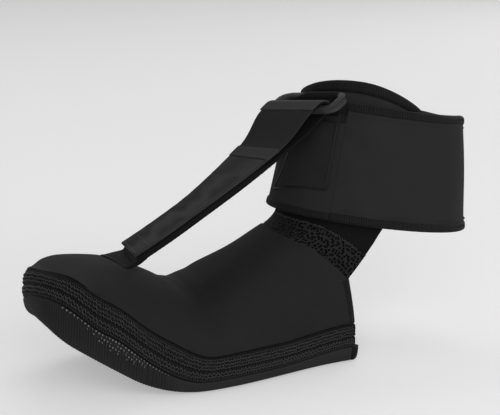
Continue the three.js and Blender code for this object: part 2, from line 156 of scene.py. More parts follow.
def knit_look(name, level, sheen, grain=0.16, coarse=0.25):
    """Smooth knitted face cloth: fine loops, and slow mottling where the foam under it varies."""
    look = Look(name, grey(level), 0.75, sheen)
    loops = look.math("MULTIPLY", look.wave(0.55), look.wave(0.5, across=True))
    fine = look.noise(1.6, 1.6, 3.0, 0.65)
    slow = look.noise(0.07, 0.07, 2.0)
    tone = look.math("ADD", look.math("MULTIPLY", fine, grain), look.math("MULTIPLY", slow, coarse))
    tone = look.math("ADD", tone, look.math("MULTIPLY", loops, 0.25))
    look.ramp(tone, grey(level * 0.72), grey(level * 1.45))
    look.bump(look.math("ADD", loops, look.math("MULTIPLY", fine, 1.4)), 0.10, 0.6)
    look.rough(fine, 0.62, 0.88)
    return look.material


def thread_look(name, level):
    """Twisted sewing thread."""
    look = Look(name, grey(level), 0.55, 0.04, 0.2)
    twist = look.wave(0.35, distortion=1.0, turn=0.6)
    look.ramp(twist, grey(level * 0.7), grey(level * 1.3))
    look.bump(twist, 0.05, 0.5)
    return look.material


def ribbed_look(name, level, pitch, across, light, depth=0.22, sheen=0.03):
    """Close ribs of thread or yarn with uneven tone from rib to rib."""
    look = Look(name, grey(level), 0.7, sheen)
    ribs = look.wave(pitch, across=across, distortion=0.6)
    uneven = look.noise(*((0.02, 0.8 / pitch) if across else (0.8 / pitch, 0.02)), 1.0)
    fine = look.noise(2.2, 2.2, 2.0)
    tone = look.math("MULTIPLY", ribs, look.math("ADD", uneven, 0.3))
    tone = look.math("ADD", tone, look.math("MULTIPLY", fine, 0.15))
    look.ramp(tone, grey(level * 0.55), grey(level * light))
    look.bump(look.math("ADD", ribs, look.math("MULTIPLY", fine, 0.5)), depth, 0.8)
    look.rough(fine, 0.55, 0.85)
    return look.material


def brushed_look(name, level):
    """Brushed lining or loop pile: short soft fibres."""
    look = Look(name, grey(level), 0.95, 0.05)
    fibres = look.noise(2.6, 2.6, 4.0, 0.7)
    look.ramp(fibres, grey(level * 0.6), grey(level * 1.5))
    look.bump(fibres, 0.35, 0.8)
    return look.material


def pore_look(name, level):
    """Stretch tape with round pores in a staggered pattern."""
    look = Look(name, grey(level), 0.7, 0.0, 0.03)
    cells = look.node(
        "ShaderNodeTexVoronoi",
        {"Vector": look.stretched(0.58, 0.58), "Scale": 1.0, "Randomness": 0.7},
        feature="F1", voronoi_dimensions="2D").outputs["Distance"]
    rim = look.node("ShaderNodeMapRange", {"Value": cells, "From Min": 0.24, "From Max": 0.42},
                    interpolation_type="SMOOTHSTEP").outputs[0]
    fine = look.noise(1.5, 1.5, 3.0, 0.7)
    tone = look.math("MULTIPLY", rim, look.math("ADD", look.math("MULTIPLY", fine, 1.1), 0.1))
    look.ramp(tone, grey(level * 0.12), grey(level * 2.7))
    look.bump(look.math("ADD", rim, look.math("MULTIPLY", fine, 0.4)), 0.5, 0.9)
    return look.material


def plastic_look(name, level, specular, rough_low, rough_high):
    """Moulded satin plastic with a fine spark-eroded grain and slow random patches of lighter and darker tone."""
    look = Look(name, grey(level, 1.01), rough_low, 0.0, specular)
    grain = look.noise(2.5, 2.5, 3.0)
    worn = look.noise(0.12, 0.3, 2.0)
    look.ramp(worn, grey(level * 0.85, 1.01), grey(level * 1.2, 1.01))
    look.bump(grain, 0.03, 0.4)
    look.rough(grain, rough_low, rough_high)
    return look.material


UPPER = knit_look("upper_jersey", 0.0180, 0.004)
CUFF = knit_look("cuff_cloth", 0.0215, 0.010)
PATCH = knit_look("patch_cloth", 0.0185, 0.006)
# The ankle panel's own dark cloth, darkened further by painted shade from the cuff over it.
SHADED_PANEL = knit_look("panel_cloth_painted_shade", 0.0065, 0.004)
SOLE = knit_look("sole_cloth", 0.0245, 0.02, grain=0.22)
LINING = brushed_look("lining", 0.012)
LOOP = brushed_look("loop_pile", 0.009)
TAPE = ribbed_look("tape_cloth", 0.0066, 1.3, False, 2.2)
OVERLOCK = ribbed_look("overlock", 0.0092, 1.25, False, 1.8)
PORES = pore_look("pore_tape", 0.0088)
HOOK = ribbed_look("hook_tape_back", 0.030, 1.1, True, 1.55, 0.16, 0.05)
WEB = ribbed_look("webbing_face", 0.0185, 0.9, True, 1.35, 0.10, 0.05)
UNDER = ribbed_look("webbing_back", 0.007, 0.9, True, 1.35, 0.10, 0.004)
THREAD = thread_look("thread", 0.040)
# A lighter copy of the webbing: painted highlight for the strap's fold round the ring's bar.
FOLD_HIGHLIGHT_WEB = ribbed_look("webbing_fold_painted_highlight", 0.040, 0.9, True, 1.35, 0.10, 0.05)
DARK_THREAD = thread_look("dark_thread", 0.0035)
RUBBER = plastic_look("dot_rubber", 0.13, 0.4, 0.28, 0.42)
PLASTIC = plastic_look("ring_plastic", 0.026, 0.12, 0.45, 0.6)

# ---- mesh building ------------------------------------------------------------------------------


def mesh_object(name, verts, quads, uvs, looks, face_look=None, sharp=50, ngons=()):
    """One mesh object from millimetre corners. uvs has one row per face corner."""
    mesh = bpy.data.meshes.new(name)
    mesh.vertices.add(len(verts))
    mesh.vertices.foreach_set("co", (np.asarray(verts, float) * 0.001).ravel())
    corners = np.concatenate([np.asarray(quads).ravel(), *[np.asarray(n) for n in ngons]]).astype(np.int32)
    totals = np.array([4] * len(quads) + [len(n) for n in ngons])
    starts = np.concatenate([[0], np.cumsum(totals)[:-1]])
    mesh.loops.add(len(corners))
    mesh.loops.foreach_set("vertex_index", corners)
    mesh.polygons.add(len(totals))
    mesh.polygons.foreach_set("loop_start", starts.astype(np.int32))
    mesh.polygons.foreach_set("use_smooth", np.ones(len(totals), bool))
    if face_look is not None:
        mesh.polygons.foreach_set("material_index", np.asarray(face_look, np.int32))
    layer = mesh.uv_layers.new(name=CLOTH_MAP)
    layer.data.foreach_set("uv", np.asarray(uvs, np.float32).ravel())
    mesh.update(calc_edges=True)
    mesh.validate()
    mesh.set_sharp_from_angle(angle=deg(sharp))
    for look in looks:
        mesh.materials.append(look)
    made = bpy.data.objects.new(name, mesh)
    scene.collection.objects.link(made)
    return made


def outward(verts, quads):
    """The quads, all turned over if they enclose a negative volume."""
    a, b, c, d = (verts[quads[:, k]] for k in range(4))
    volume = (a * np.cross(b, c)).sum() + (a * np.cross(c, d)).sum()
    return volume >= 0


def section(v0, v1, count, per_unit, half_thick, rim=4):
    """A strip's closed section as (v, share of depth): outer face, round rim, inner face, round rim.
    It starts at the middle of the first rim, so entry j lies opposite entry -1 - j."""
    inset = min(half_thick / per_unit, (v1 - v0) / 2.2)
    face = np.linspace(v0 + inset, v1 - inset, count)
    turn = (np.arange(rim) + 0.5) / rim * PI - PI / 2
    far_v, far_f = v1 - inset + inset * np.cos(turn), 0.5 + 0.5 * np.sin(turn)
    near_v, near_f = v0 + inset - inset * np.cos(turn), 0.5 - 0.5 * np.sin(turn)
    v = np.concatenate([near_v[rim // 2:], face, far_v, face[::-1], near_v[:rim // 2]])
    f = np.concatenate([near_f[rim // 2:], face * 0, far_f, face * 0 + 1, near_f[:rim // 2]])
    return v, f


def loft(name, place, us, v, f, d0, d1, looks, closed=False, relief=None, soft=None, sharp=50):
    """Sweeps a strip's section (v, f) along us. place(u, v, depth) is the surface; d0 and d1 are the
    depths of its two faces, numbers or functions of u and v. relief(s, t) lifts the outer face, where
    s and t are millimetres along and across. soft(points) also lifts it. looks: outer, inner."""
    n, m = len(us), len(v)
    us = np.asarray(us, float)[:, None]
    v, f = np.asarray(v)[None, :], np.asarray(f)[None, :]
    top = d0(us, v) if callable(d0) else d0
    low = d1(us, v) if callable(d1) else d1
    depth = top + (low - top) * f
    flat = place(us + 0 * v, v + 0 * us, depth + 0 * us)
    step = np.linalg.norm(np.diff(flat, axis=0), axis=2).mean(axis=1)
    s = np.concatenate([[0], np.cumsum(step)])
    around = np.linalg.norm(np.diff(np.concatenate([flat, flat[:, :1]], axis=1), axis=1), axis=2).mean(axis=0)
    t = np.concatenate([[0], np.cumsum(around)])
    lifted = np.zeros((n, m))
    if relief is not None:
        lifted = lifted + relief(s[:, None], t[None, :-1])
    if soft is not None:
        lifted = lifted + soft(flat)
    verts = place(us + 0 * v, v + 0 * us, depth - lifted * (1 - f) + 0 * us).reshape(-1, 3)
    rows = n if closed else n - 1
    i, j = np.meshgrid(np.arange(rows), np.arange(m), indexing="ij")
    i2, j2 = (i + 1) % n, (j + 1) % m
    quads = np.stack([i * m + j, i2 * m + j, i2 * m + j2, i * m + j2], axis=-1).reshape(-1, 4)
    if closed:
        s = np.concatenate([s, [s[-1] + step[-1]]])
    uv = np.stack([
        np.stack([s[i + a], t[j + b]], axis=-1) for a, b in ((0, 0), (1, 0), (1, 1), (0, 1))], axis=2)
    uv = uv.reshape(-1, 4, 2)
    inner = np.broadcast_to((f > 0.5)[0] & (np.roll(f, -1) > 0.5)[0], (rows, m)).reshape(-1)
    face_look = inner.astype(int) * (1 if len(looks) > 1 else 0)
    if not closed:
        k = np.arange(m // 2 - 1)
        for base, flip in ((0, False), ((n - 1) * m, True)):
            cap = np.stack([base + k, base + k + 1, base + m - 2 - k, base + m - 1 - k], axis=-1)
            cap = cap if not flip else cap[:, ::-1]
            quads = np.concatenate([quads, cap])
            where = verts[cap]
            uv = np.concatenate([uv, np.stack([where[..., 0], where[..., 2]], axis=-1)])
            face_look = np.concatenate([face_look, np.zeros(len(cap), int)])
    if not outward(verts, quads):
        quads, uv = quads[:, ::-1], uv[:, ::-1]
    return mesh_object(name, verts, quads, uv, looks, face_look, sharp)


def tubes(name, paths, radius, look, sides=5):
    """Round threads in one mesh. Each path is (points, outward directions)."""
    verts, quads, uvs, ends, end_uvs, base = [], [], [], [], [], 0
    turn = np.arange(sides) / sides * 2 * PI
    for points, normals in paths:
        n = len(points)
        along = np.gradient(points, axis=0)
        along /= np.linalg.norm(along, axis=1)[:, None] + 1e-9
        side = np.cross(along, normals)
        side /= np.linalg.norm(side, axis=1)[:, None] + 1e-9
        up = np.cross(side, along)
        ring = (np.cos(turn)[None, :, None] * up[:, None] + np.sin(turn)[None, :, None] * side[:, None])
        verts.append((points[:, None] + radius * ring).reshape(-1, 3))
        i, j = np.meshgrid(np.arange(n - 1), np.arange(sides), indexing="ij")
        j2 = (j + 1) % sides
        q = np.stack([i * sides + j, i * sides + j2, (i + 1) * sides + j2, (i + 1) * sides + j], axis=-1)
        quads.append(q.reshape(-1, 4) + base)
        s = np.concatenate([[0], np.cumsum(np.linalg.norm(np.diff(points, axis=0), axis=1))])
        width = 2 * PI * radius / sides
        uv = np.stack([
            np.stack([s[i + a], (j + b) * width], axis=-1) for a, b in ((0, 0), (0, 1), (1, 1), (1, 0))], axis=2)
        uvs.append(uv.reshape(-1, 2))
        ends += [base + np.arange(sides)[::-1], base + (n - 1) * sides + np.arange(sides)]
        end_uvs += [np.zeros((sides, 2)), np.zeros((sides, 2))]
        base += n * sides
    return mesh_object(
        name, np.concatenate(verts), np.concatenate(quads), np.concatenate(uvs + end_uvs), [look],
        sharp=80, ngons=ends)


def even(place, u0, u1, step, v=0.5, depth=0.0):
    """Values of u about step millimetres apart along a surface."""
    fine = np.linspace(u0, u1, 800)
    path = place(fine, fine * 0 + v, fine * 0 + depth)
    run = np.concatenate([[0], np.cumsum(np.linalg.norm(np.diff(path, axis=0), axis=1))])
    return np.interp(np.linspace(0, run[-1], max(3, int(round(run[-1] / step)) + 1)), run, fine)


def normal_of(place, u, v, depth):
    """The outward direction of a surface, from two depths."""
    away = place(u, v, depth - 0.5) - place(u, v, depth + 0.5)
    return away / (np.linalg.norm(away, axis=-1)[..., None] + 1e-9)


def laced(place, u, v, rise, sink, depth=0.0):
    """A thread through needle points (u, v) on a surface, standing proud between them."""
    n = len(u)
    uu, vv = np.interp(np.arange(0, n - 0.99, 0.5), np.arange(n), u), np.interp(
        np.arange(0, n - 0.99, 0.5), np.arange(n), v)
    dd = np.where(np.arange(len(uu)) % 2 == 0, depth + sink, depth - rise)
    return place(uu, vv, dd), normal_of(place, uu, vv, dd)


def zigzag(place, u0, u1, pitch, v, swing, depth=0.0, rise=0.16, sink=0.2):
    u = even(place, u0, u1, pitch / 2, v, depth)
    k = np.arange(len(u))
    uneven = 1 + 0.28 * np.sin(k * 2.39 + v * 40) + 0.18 * np.sin(k * 0.83)
    return laced(place, u, v + swing * uneven * (k % 2 * 2 - 1), rise, sink, depth)


def running(place, u0, u1, pitch, v, depth=0.0, rise=0.12, sink=0.35):
    u = even(place, u0, u1, pitch / 2, v, depth)
    return laced(place, u, u * 0 + v, rise, sink, depth)


def ripples(size, height, seed, count=7):
    """A soft unevenness of the cloth, as a function of place."""
    rng = np.random.default_rng(seed)
    directions = rng.normal(size=(count, 3))
    directions /= np.linalg.norm(directions, axis=1)[:, None]
    waves = directions * (2 * PI / (size * rng.uniform(0.7, 1.6, (count, 1))))
    phases = rng.uniform(0, 2 * PI, count)
    return lambda p: height * np.sin(p @ waves.T + phases).mean(axis=-1) * 2


# ---- foot sleeve surfaces -----------------------------------------------------------------------
TOE_ROUND_X = TOE_TIP_X + 46
DRIFT_X = TOE_ROUND_X + 12
CURL_START = BALL_X + 2
CURL_END = CURL_START - CURL_RADIUS * math.sin(CURL_ANGLE)
INSTEP_X, HEEL_EDGE_X, CORNER = 10, 47, deg(21)
TAPE_DIP, TAPE_CANT = 5, 0.27


def half_width(x):
    nose = np.maximum(0, (TOE_ROUND_X - x) / (TOE_ROUND_X - TOE_TIP_X))
    wide = lerp(BALL_HALF, HEEL_HALF, smooth(x, BALL_X, SOLE_REAR_X))
    return wide * np.sqrt(np.maximum(0.002, 1 - nose * nose))


def drift(x):
    return -TOE_DRIFT * np.maximum(0, (DRIFT_X - x) / (DRIFT_X - TOE_TIP_X)) ** 2


def curl_z(x):
    run = np.clip(CURL_START - x, 0, CURL_START - CURL_END)
    arc = CURL_RADIUS - np.sqrt(CURL_RADIUS ** 2 - run ** 2)
    return arc + math.tan(CURL_ANGLE) * np.maximum(0, CURL_END - x)


def tape_lift(x):
    return 6 + 3 * smooth(x, 0, SOLE_REAR_X) + 11 * smooth(-x, 44, 98)


def tape_wide(x):
    return TAPE_WIDTH * (1 + 0.375 * smooth(-x, 38, 64) - 0.10 * smooth(-x, 104, 126))


def tape_low(x, y):
    dip = TAPE_DIP * smooth(-x, 86, -TOE_TIP_X)
    return curl_z(x) + tape_lift(x) - dip - TAPE_CANT * y * smooth(-x, 96, -TOE_TIP_X)


def bottom_z(x):
    nose = np.maximum(0, (TOE_TIP_X + 16 - x) / 16)
    return curl_z(x) + (tape_lift(TOE_TIP_X) - TAPE_DIP - 2) * (1 - np.sqrt(np.maximum(0, 1 - nose * nose)))


def ridge_z(x):
    toes = 46 + 15.5 * smooth(-x, 36, 81)
    climb = 24 * (np.maximum(0, x + 40) / (INSTEP_X + 40)) ** 1.15
    nose = np.maximum(0, (TOE_TIP_X + 20 - x) / 20)
    tip = TOE_TIP_X + 1
    return lerp(toes + climb, tape_low(tip, 0) + tape_wide(tip) + 1.2, nose ** 2.4)


def lean(p):
    """The toe's front leans back towards its top."""
    x, y, z = p[..., 0], p[..., 1], p[..., 2]
    front = smooth(-x, 106, 126)
    high = np.clip((z - curl_z(x) - 11) / 18, 0, 1.4)
    return point(x + 3.6 * front * high ** 1.5, y, z - 3.0 * front * high ** 2)


def arch(x, angle, depth):
    side = -np.sign(np.cos(angle)) * np.abs(np.cos(angle)) ** 0.82
    y = side * np.maximum(half_width(x) - depth, 0.6)
    base = tape_low(x, y) + tape_wide(x) + SEAM_GAP * 0.4
    return lean(point(x, y + drift(x), base + np.maximum(ridge_z(x) - base - depth, 0.6) * np.sin(angle)))


def rear_x(angle):
    up = np.minimum(angle, PI - angle)
    beside = lerp(HEEL_EDGE_X, HEEL_EDGE_X - 3, up / CORNER)
    sweep = np.sin(np.clip((up - CORNER) / (PI / 2 - CORNER), 0, 1) * PI / 2)
    return np.where(up < CORNER, beside, INSTEP_X + (HEEL_EDGE_X - 3 - INSTEP_X) * (1 - sweep))


def toe_x(share):
    """From the ball (0) to the toe's tip (1), closing up towards the tip."""
    turn = np.clip((share - 0.42) / 0.58, 0, 1) * PI / 2
    return np.where(share < 0.42, lerp(BALL_X - 1, TOE_ROUND_X, share / 0.42),
                    TOE_ROUND_X - (TOE_ROUND_X - TOE_TIP_X - 0.05) * np.sin(turn))


def upper_place(u, angle, depth):
    """From the toe (u = -1) over the ball (0) to the rear edge (1)."""
    front = toe_x(np.clip(-u, 0, 1))
    x = np.where(u < 0, front, lerp(BALL_X - 1, rear_x(angle), np.maximum(u, 0)))
    return arch(x, angle, depth)


def sole_place(x, v, depth):
    flat = 0.62
    wide = np.maximum(half_width(x) - 4.5, 0.4)
    low = bottom_z(x)
    lift = tape_low(x, np.sign(v) * half_width(x)) - SEAM_GAP * 0.4 - low
    turn = np.clip((np.abs(v) - flat) / (1 - flat), 0, 1) * PI / 2
    reach = np.minimum(4.5, half_width(x) * 0.9) - depth
    y_flat, z_flat = wide * v / flat, low + depth
    y_side = np.sign(v) * (wide + reach * np.sin(turn))
    z_side = low + lift - (lift - depth) * np.cos(turn)
    inside = np.abs(v) <= flat
    return lean(point(x, np.where(inside, y_flat, y_side) + drift(x), np.where(inside, z_flat, z_side)))


TOE_SHARE = 0.365  # share of each half of the tape that rounds the toe


def tape_place(travel, v, depth):
    """The seam tape, from the -Y heel (travel -1) round the toe (0) to the +Y heel (1)."""
    side, reach = np.sign(travel), np.abs(travel)
    turn = np.clip(reach / TOE_SHARE, 0, 1) * PI / 2
    x_toe = TOE_ROUND_X - (TOE_ROUND_X - TOE_TIP_X - depth) * np.cos(turn)
    y_toe = side * (half_width(TOE_ROUND_X) - depth) * np.sin(turn)
    x_side = lerp(TOE_ROUND_X, HEEL_EDGE_X, np.clip((reach - TOE_SHARE) / (1 - TOE_SHARE), 0, 1))
    y_side = side * (half_width(x_side) - depth)
    rounding = reach < TOE_SHARE
    x, y = np.where(rounding, x_toe, x_side), np.where(rounding, y_toe, y_side)
    return lean(point(x, y + drift(x), tape_low(x, y) + tape_wide(x) * v))


def to_toes(piece):
    """Bakes a piece's placement into its mesh, without bending it at the ball of the foot."""
    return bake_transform(piece)


def cloth_sheet(piece):
    return piece


# ---- camera, floor and light ----------------------------------------------------------------------
# They come first, so that a mistake in them shows at once.
CAM_AZ, CAM_EL, CAM_FAR = deg(-24), deg(12), 0.8
back = Vector((math.sin(CAM_AZ) * math.cos(CAM_EL), -math.cos(CAM_AZ) * math.cos(CAM_EL), math.sin(CAM_EL)))
camera = bpy.data.objects.new("camera", bpy.data.cameras.new("camera"))
scene.collection.objects.link(camera)
camera.data.lens, camera.data.sensor_width = 109.44, 36
camera.location = Vector((0, 0, 0.082)) + back * CAM_FAR
camera.rotation_mode = "QUATERNION"
camera.rotation_quaternion = (-back).to_track_quat("-Z", "Y")
camera.data.clip_start, camera.data.clip_end = 0.05, 60
scene.camera = camera


def lamp(name, where, size, power):
    made = bpy.data.objects.new(name, bpy.data.lights.new(name, "AREA"))
    made.data.size, made.data.energy = size, power
    made.location = where
    made.rotation_mode = "QUATERNION"
    made.rotation_quaternion = (Vector((0, 0, 0.07)) - Vector(where)).to_track_quat("-Z", "Y")
    scene.collection.objects.link(made)


lamp("key", (-0.9, -2.2, 0.9), 1.5, 29)
lamp("front", (0.9, -2.2, 0.7), 1.5, 24)
lamp("top", (0.3, 0.6, 2.2), 1.4, 4.5)
lamp("rear_left", (2.2, 1.1, 0.9), 1.4, 10)
lamp("rear_right", (-2.0, 1.6, 0.9), 1.4, 7)

world = bpy.data.worlds.new("studio")
scene.world = world
world.use_nodes = True
sky = world.node_tree
rays = sky.nodes.new("ShaderNodeLightPath")
seen = sky.nodes.new("ShaderNodeMath")
seen.operation = "MAXIMUM"
sky.links.new(rays.outputs["Is Camera Ray"], seen.inputs[0])
sky.links.new(rays.outputs["Is Transmission Ray"], seen.inputs[1])
strength = sky.nodes.new("ShaderNodeMapRange")
strength.inputs["To Min"].default_value = 0.22
strength.inputs["To Max"].default_value = 1.0
mirrored = sky.nodes.new("ShaderNodeMath")
mirrored.operation = "MAXIMUM"
sky.links.new(seen.outputs[0], mirrored.inputs[0])
sky.links.new(rays.outputs["Is Glossy Ray"], mirrored.inputs[1])
sky.links.new(mirrored.outputs[0], strength.inputs["Value"])
sky.nodes["Background"].inputs["Color"].default_value = (1, 1, 1, 1)
sky.links.new(strength.outputs[0], sky.nodes["Background"].inputs["Strength"])
scene.view_settings.view_transform = "Standard"

floor_mesh = bpy.data.meshes.new("floor")
floor_mesh.from_pydata([(-9, -9, -0.0006), (9, -9, -0.0006), (9, 9, -0.0006), (-9, 9, -0.0006)], [], [(0, 1, 2, 3)])
floor = bpy.data.objects.new("floor", floor_mesh)
scene.collection.objects.link(floor)
pale = bpy.data.materials.new("floor")
pale.use_nodes = True
pale_shader = pale.node_tree.nodes["Principled BSDF"]
pale_shader.inputs["Base Color"].default_value = (0.82, 0.82, 0.82, 1)
pale_shader.inputs["Roughness"].default_value = 0.9
pale_shader.inputs["Specular IOR Level"].default_value = 0.1
pale_shader.inputs["Emission Color"].default_value = (1, 1, 1, 1)
floor_rays = pale.node_tree.nodes.new("ShaderNodeLightPath")
glow = pale.node_tree.nodes.new("ShaderNodeMapRange")
glow.inputs["To Max"].default_value = 0.32
pale.node_tree.links.new(floor_rays.outputs["Is Camera Ray"], glow.inputs["Value"])
pale.node_tree.links.new(glow.outputs[0], pale_shader.inputs["Emission Strength"])
floor_mesh.materials.append(pale)

# ---- sleeve: upper, sole, tape --------------------------------------------------------------------
upper_us = np.concatenate([np.linspace(-1, -0.42, 110), np.linspace(-0.42, 0, 40)[1:], np.linspace(0, 0.998, 110)[1:]])
upper_v, upper_f = section(0, PI, 120, 45, 1.2)
body_ripple = ripples(34, 0.55, 3)


def upper_soft(p):
    """Unevenness, a shallow crease behind the toes and a slight puff over them."""
    x, z = p[..., 0], p[..., 2]
    high = smooth(z, 24, 46)
    crease = -0.9 * np.exp(-((x + 47 + 0.12 * p[..., 1]) / 5.0) ** 2) * high
    second = -0.5 * np.exp(-((x + 30 - 0.1 * p[..., 1]) / 3.6) ** 2) * high
    puff = 0.5 * np.exp(-((x + 88) / 16) ** 2)
    return body_ripple(p) * smooth(x, TOE_TIP_X + 4, TOE_TIP_X + 20) + crease + second + puff


upper = loft("upper", upper_place, upper_us, upper_v, upper_f, 0.0, 2.4, [UPPER, LINING], soft=upper_soft)
to_toes(upper)
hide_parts("upper_midfoot", "toe_box", "upper_lining")
cloth_sheet(upper)

sole_us = np.concatenate([toe_x(np.linspace(1, 0.42, 250)), np.linspace(TOE_ROUND_X, -45, 110)[1:],
                          np.linspace(-45, 45.4, 60)[1:]])
sole_v, sole_f = section(-1, 1, 190, 60, 1.1)


def sole_relief(s, t):
    """Ribs across the toe's flank, one each 1.65 mm, dying away towards the flat of the sole."""
    at = s / s.max()
    across = np.minimum(t, t.max() * 0.5)
    share = across / (t.max() * 0.5)
    flank = smooth(np.abs(share * 2 - 1), 0.62, 0.86)
    front = smooth(at, 0.02, 0.06) * (1 - smooth(at, 0.42, 0.52))
    rib = 0.5 + 0.5 * np.cos(2 * PI * s / 1.65)
    return 1.0 * rib * flank * front


sole = loft("sole", sole_place, sole_us, sole_v, sole_f, 0.0, 2.4, [SOLE, LINING], relief=sole_relief)
to_toes(sole)
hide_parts("sole_midfoot", "sole_toe")
cloth_sheet(sole)


def domes(name, places, look, sides=8):
    """Small raised rubber dots: (centre, outward direction, radius, height) each."""
    verts, quads, uvs, caps, base = [], [], [], [], 0
    turn = np.arange(sides) / sides * 2 * PI
    for centre, out, radius, height in places:
        side = np.cross(out, [0.3, 0.2, 0.9])
        side /= np.linalg.norm(side)
        other = np.cross(out, side)
        rings = ((1.0, -0.25), (0.97, 0.3), (0.72, 0.78), (0.36, 1.0))
        for scale, up in rings:
            verts.append(centre + radius * scale * (
                np.cos(turn)[:, None] * side + np.sin(turn)[:, None] * other) + out * height * up)
        for k in range(len(rings) - 1):
            for j in range(sides):
                j2 = (j + 1) % sides
                quads.append([base + k * sides + j, base + k * sides + j2,
                              base + (k + 1) * sides + j2, base + (k + 1) * sides + j])
        caps += [base + 3 * sides + np.arange(sides), base + np.arange(sides)[::-1]]
        base += 4 * sides
    uvs = np.tile([[0.0, 0.0], [0.5, 0.0], [0.5, 0.5], [0.0, 0.5]], (len(quads), 1))
    cap_uv = np.zeros((len(caps) * sides, 2))
    return mesh_object(name, np.concatenate(verts), np.array(quads), np.concatenate([uvs, cap_uv]), [look],
                       sharp=70, ngons=caps)


def grip_dots():
    """Staggered rows under the tape: one at the toe, four beside the ball, fewer behind it."""
    dots = []
    for side in (-1, 1):
        for row in range(4):
            for k, x in enumerate(np.arange(-116, -62, 1.6)):
                x = x + 0.8 * (row % 2)
                rows_here = 0.9 + 2.6 * smooth(x, -111, -92) - 2.9 * smooth(x, -84, -64)
                if row > rows_here - 0.45 + 0.3 * math.sin(k * 2.4 + row):
                    continue
                v = side * (0.988 - 0.029 * row)
                centre = sole_place(np.array(x), np.array(v), np.array(-0.12))
                out = normal_of(sole_place, np.array(x), np.array(v), np.array(0.0))
                size = 0.52 * (1 - 0.4 * smooth(x, -86, -62))
                dots.append((centre, out, size, size * 0.85))
    return dots


grips = domes("grip_dots", grip_dots(), RUBBER)
to_toes(grips)

tape_v, tape_f = section(0.0, 1.0, 44, TAPE_WIDTH, 0.75)
tape_us = np.concatenate([
    -np.flip(even(tape_place, 0.0005, 1, 0.36)), even(tape_place, 0.0005, 1, 0.36)])


def tape_relief(s, t):
    """A plain upper edge, a raised stitched band, a groove, and a flatter ribbed band below it."""
    share = t / (t.max() * 0.5)
    band = np.clip(1 - ((share - 0.68) / 0.22) ** 4, 0, 1)
    low = np.clip(1 - ((share - 0.24) / 0.20) ** 4, 0, 1)
    roll = 0.55 * np.sqrt(np.clip(1 - ((share - 0.95) / 0.05) ** 2, 0, 1))
    groove = -0.5 * np.exp(-((share - 0.455) / 0.03) ** 2)
    lanes = 0.22 * np.cos(2 * PI * (share - 0.68) / 0.145)
    pull = 0.20 * np.cos(2 * PI * (s / 1.35 + share * 2.2))
    rib = 0.16 * np.cos(2 * PI * s / 1.55)
    return (roll + groove + band * (0.55 + lanes + pull) + low * (0.3 + rib)) * (share < 1.04)


tape = loft("seam_tape", tape_place, tape_us, tape_v, tape_f, 0.0, 1.5, [TAPE, LINING], relief=tape_relief)
to_toes(tape)
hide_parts("seam_tape_near", "seam_tape_far", "toe_seam_tape")
cloth_sheet(tape)

tape_rows = [
    zigzag(tape_place, -0.995, 0.995, 1.9, 0.80, 0.045, rise=0.95, sink=-0.35),
    zigzag(tape_place, -0.995, 0.995, 1.9, 0.66, 0.05, rise=0.95, sink=-0.35),
    zigzag(tape_place, -0.995, 0.995, 2.1, 0.53, 0.04, rise=0.8, sink=-0.25),
    running(tape_place, -0.995, 0.995, 2.6, 0.90, rise=0.2, sink=0.3),
    zigzag(tape_place, -0.995, 0.995, 2.3, 0.31, 0.05, rise=0.75, sink=-0.2),
    zigzag(tape_place, -0.995, 0.995, 2.2, 0.19, 0.045, rise=0.7, sink=-0.15),
    running(tape_place, -0.995, 0.995, 2.6, 0.07, rise=0.2, sink=0.3),
]
tape_threads = tubes("tape_stitches", tape_rows, 0.2, THREAD)
to_toes(tape_threads)

# The seam allowance of the sleeve, behind the tape.
allow_v, allow_f = section(-0.10, 1.09, 14, TAPE_WIDTH, 0.4)
allowance = loft("seam_allowance", tape_place, even(tape_place, -1, 1, 1.2), allow_v, allow_f, 1.75, 2.6, [UNDER])
to_toes(allowance)


def overlock(name, place, us, v0, v1, per_unit, d0, d1, body=None, extra=0.0, look=None):
    """An edge binding: a closed strip with a rib where each thread passes over it."""
    v, f = section(v0, v1, 14, per_unit, (d1 - d0) / 2 if not callable(d0) else 1.6, 6)

    def relief(s, t):
        lean = 0.18 * np.sin(t * 2.1) + extra
        return 0.09 * np.cos(2 * PI * (s / 1.25 + lean)) + 0.05 * np.cos(2 * PI * s / 7.3)

    made = loft(name, place, us, v, f, d0, d1, [look or OVERLOCK], relief=relief, sharp=60)
    if body:
        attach(made, body)
    return made


for name, v0, v1, u_end in (("near", 0.0, CORNER, 1), ("far", PI - CORNER, PI, 1)):

    def heel_edge(a, u, depth):
        return upper_place(u, a, depth)

    edge_us = even(heel_edge, v0, v1, 0.3, 0.97)
    made = overlock(f"heel_edge_{name}", heel_edge, edge_us, 0.945, 1.0, 90, -0.4, 3.8, "foot")
    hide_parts(f"heel_binding_{name}")


def sole_edge(v, x, depth):
    return sole_place(x, v, depth)


rear = overlock("sole_rear_edge", sole_edge, even(sole_edge, -1, 1, 0.3, 47.5), 45.3, 50, 1, 0.0, 4.0, "foot")
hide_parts("sole_rear_binding")


def footbed_place(x, v, depth):
    inside = half_width(x) - 7
    return point(x, v * np.maximum(inside, 1) + drift(x), bottom_z(x) + FABRIC + FIT + depth)


bed_v, bed_f = section(-1, 1, 40, 40, 1.4, 6)
footbed = loft("footbed_pad", footbed_place, np.linspace(TOE_TIP_X + 16, 44, 90), bed_v, bed_f,
               lambda u, v: 3.0 - 0.4 * np.exp(-((u + 50) / 12) ** 2), 0.0, [LINING],
               soft=ripples(20, 0.15, 9))
to_toes(footbed)
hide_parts("footbed", "toe_footbed")

# ---- cuff ---------------------------------------------------------------------------------------
HEM = 5 / CUFF_HEIGHT
FLAP_START, FLAP_END, OVERLAP = deg(47), deg(186), deg(112)
SEAM = deg(1.2)


def cuff_local(angle, v, depth):
    jut = 1.8 * np.exp(-(angle / deg(30)) ** 2) * np.clip(1 - v, 0, 1) ** 2
    long = lerp(57, 48, v) - depth + jut
    wide = lerp(43, 39.5, v) - depth
    return point(-4 * v - long * np.cos(angle), -wide * np.sin(angle), CUFF_HEIGHT * v)


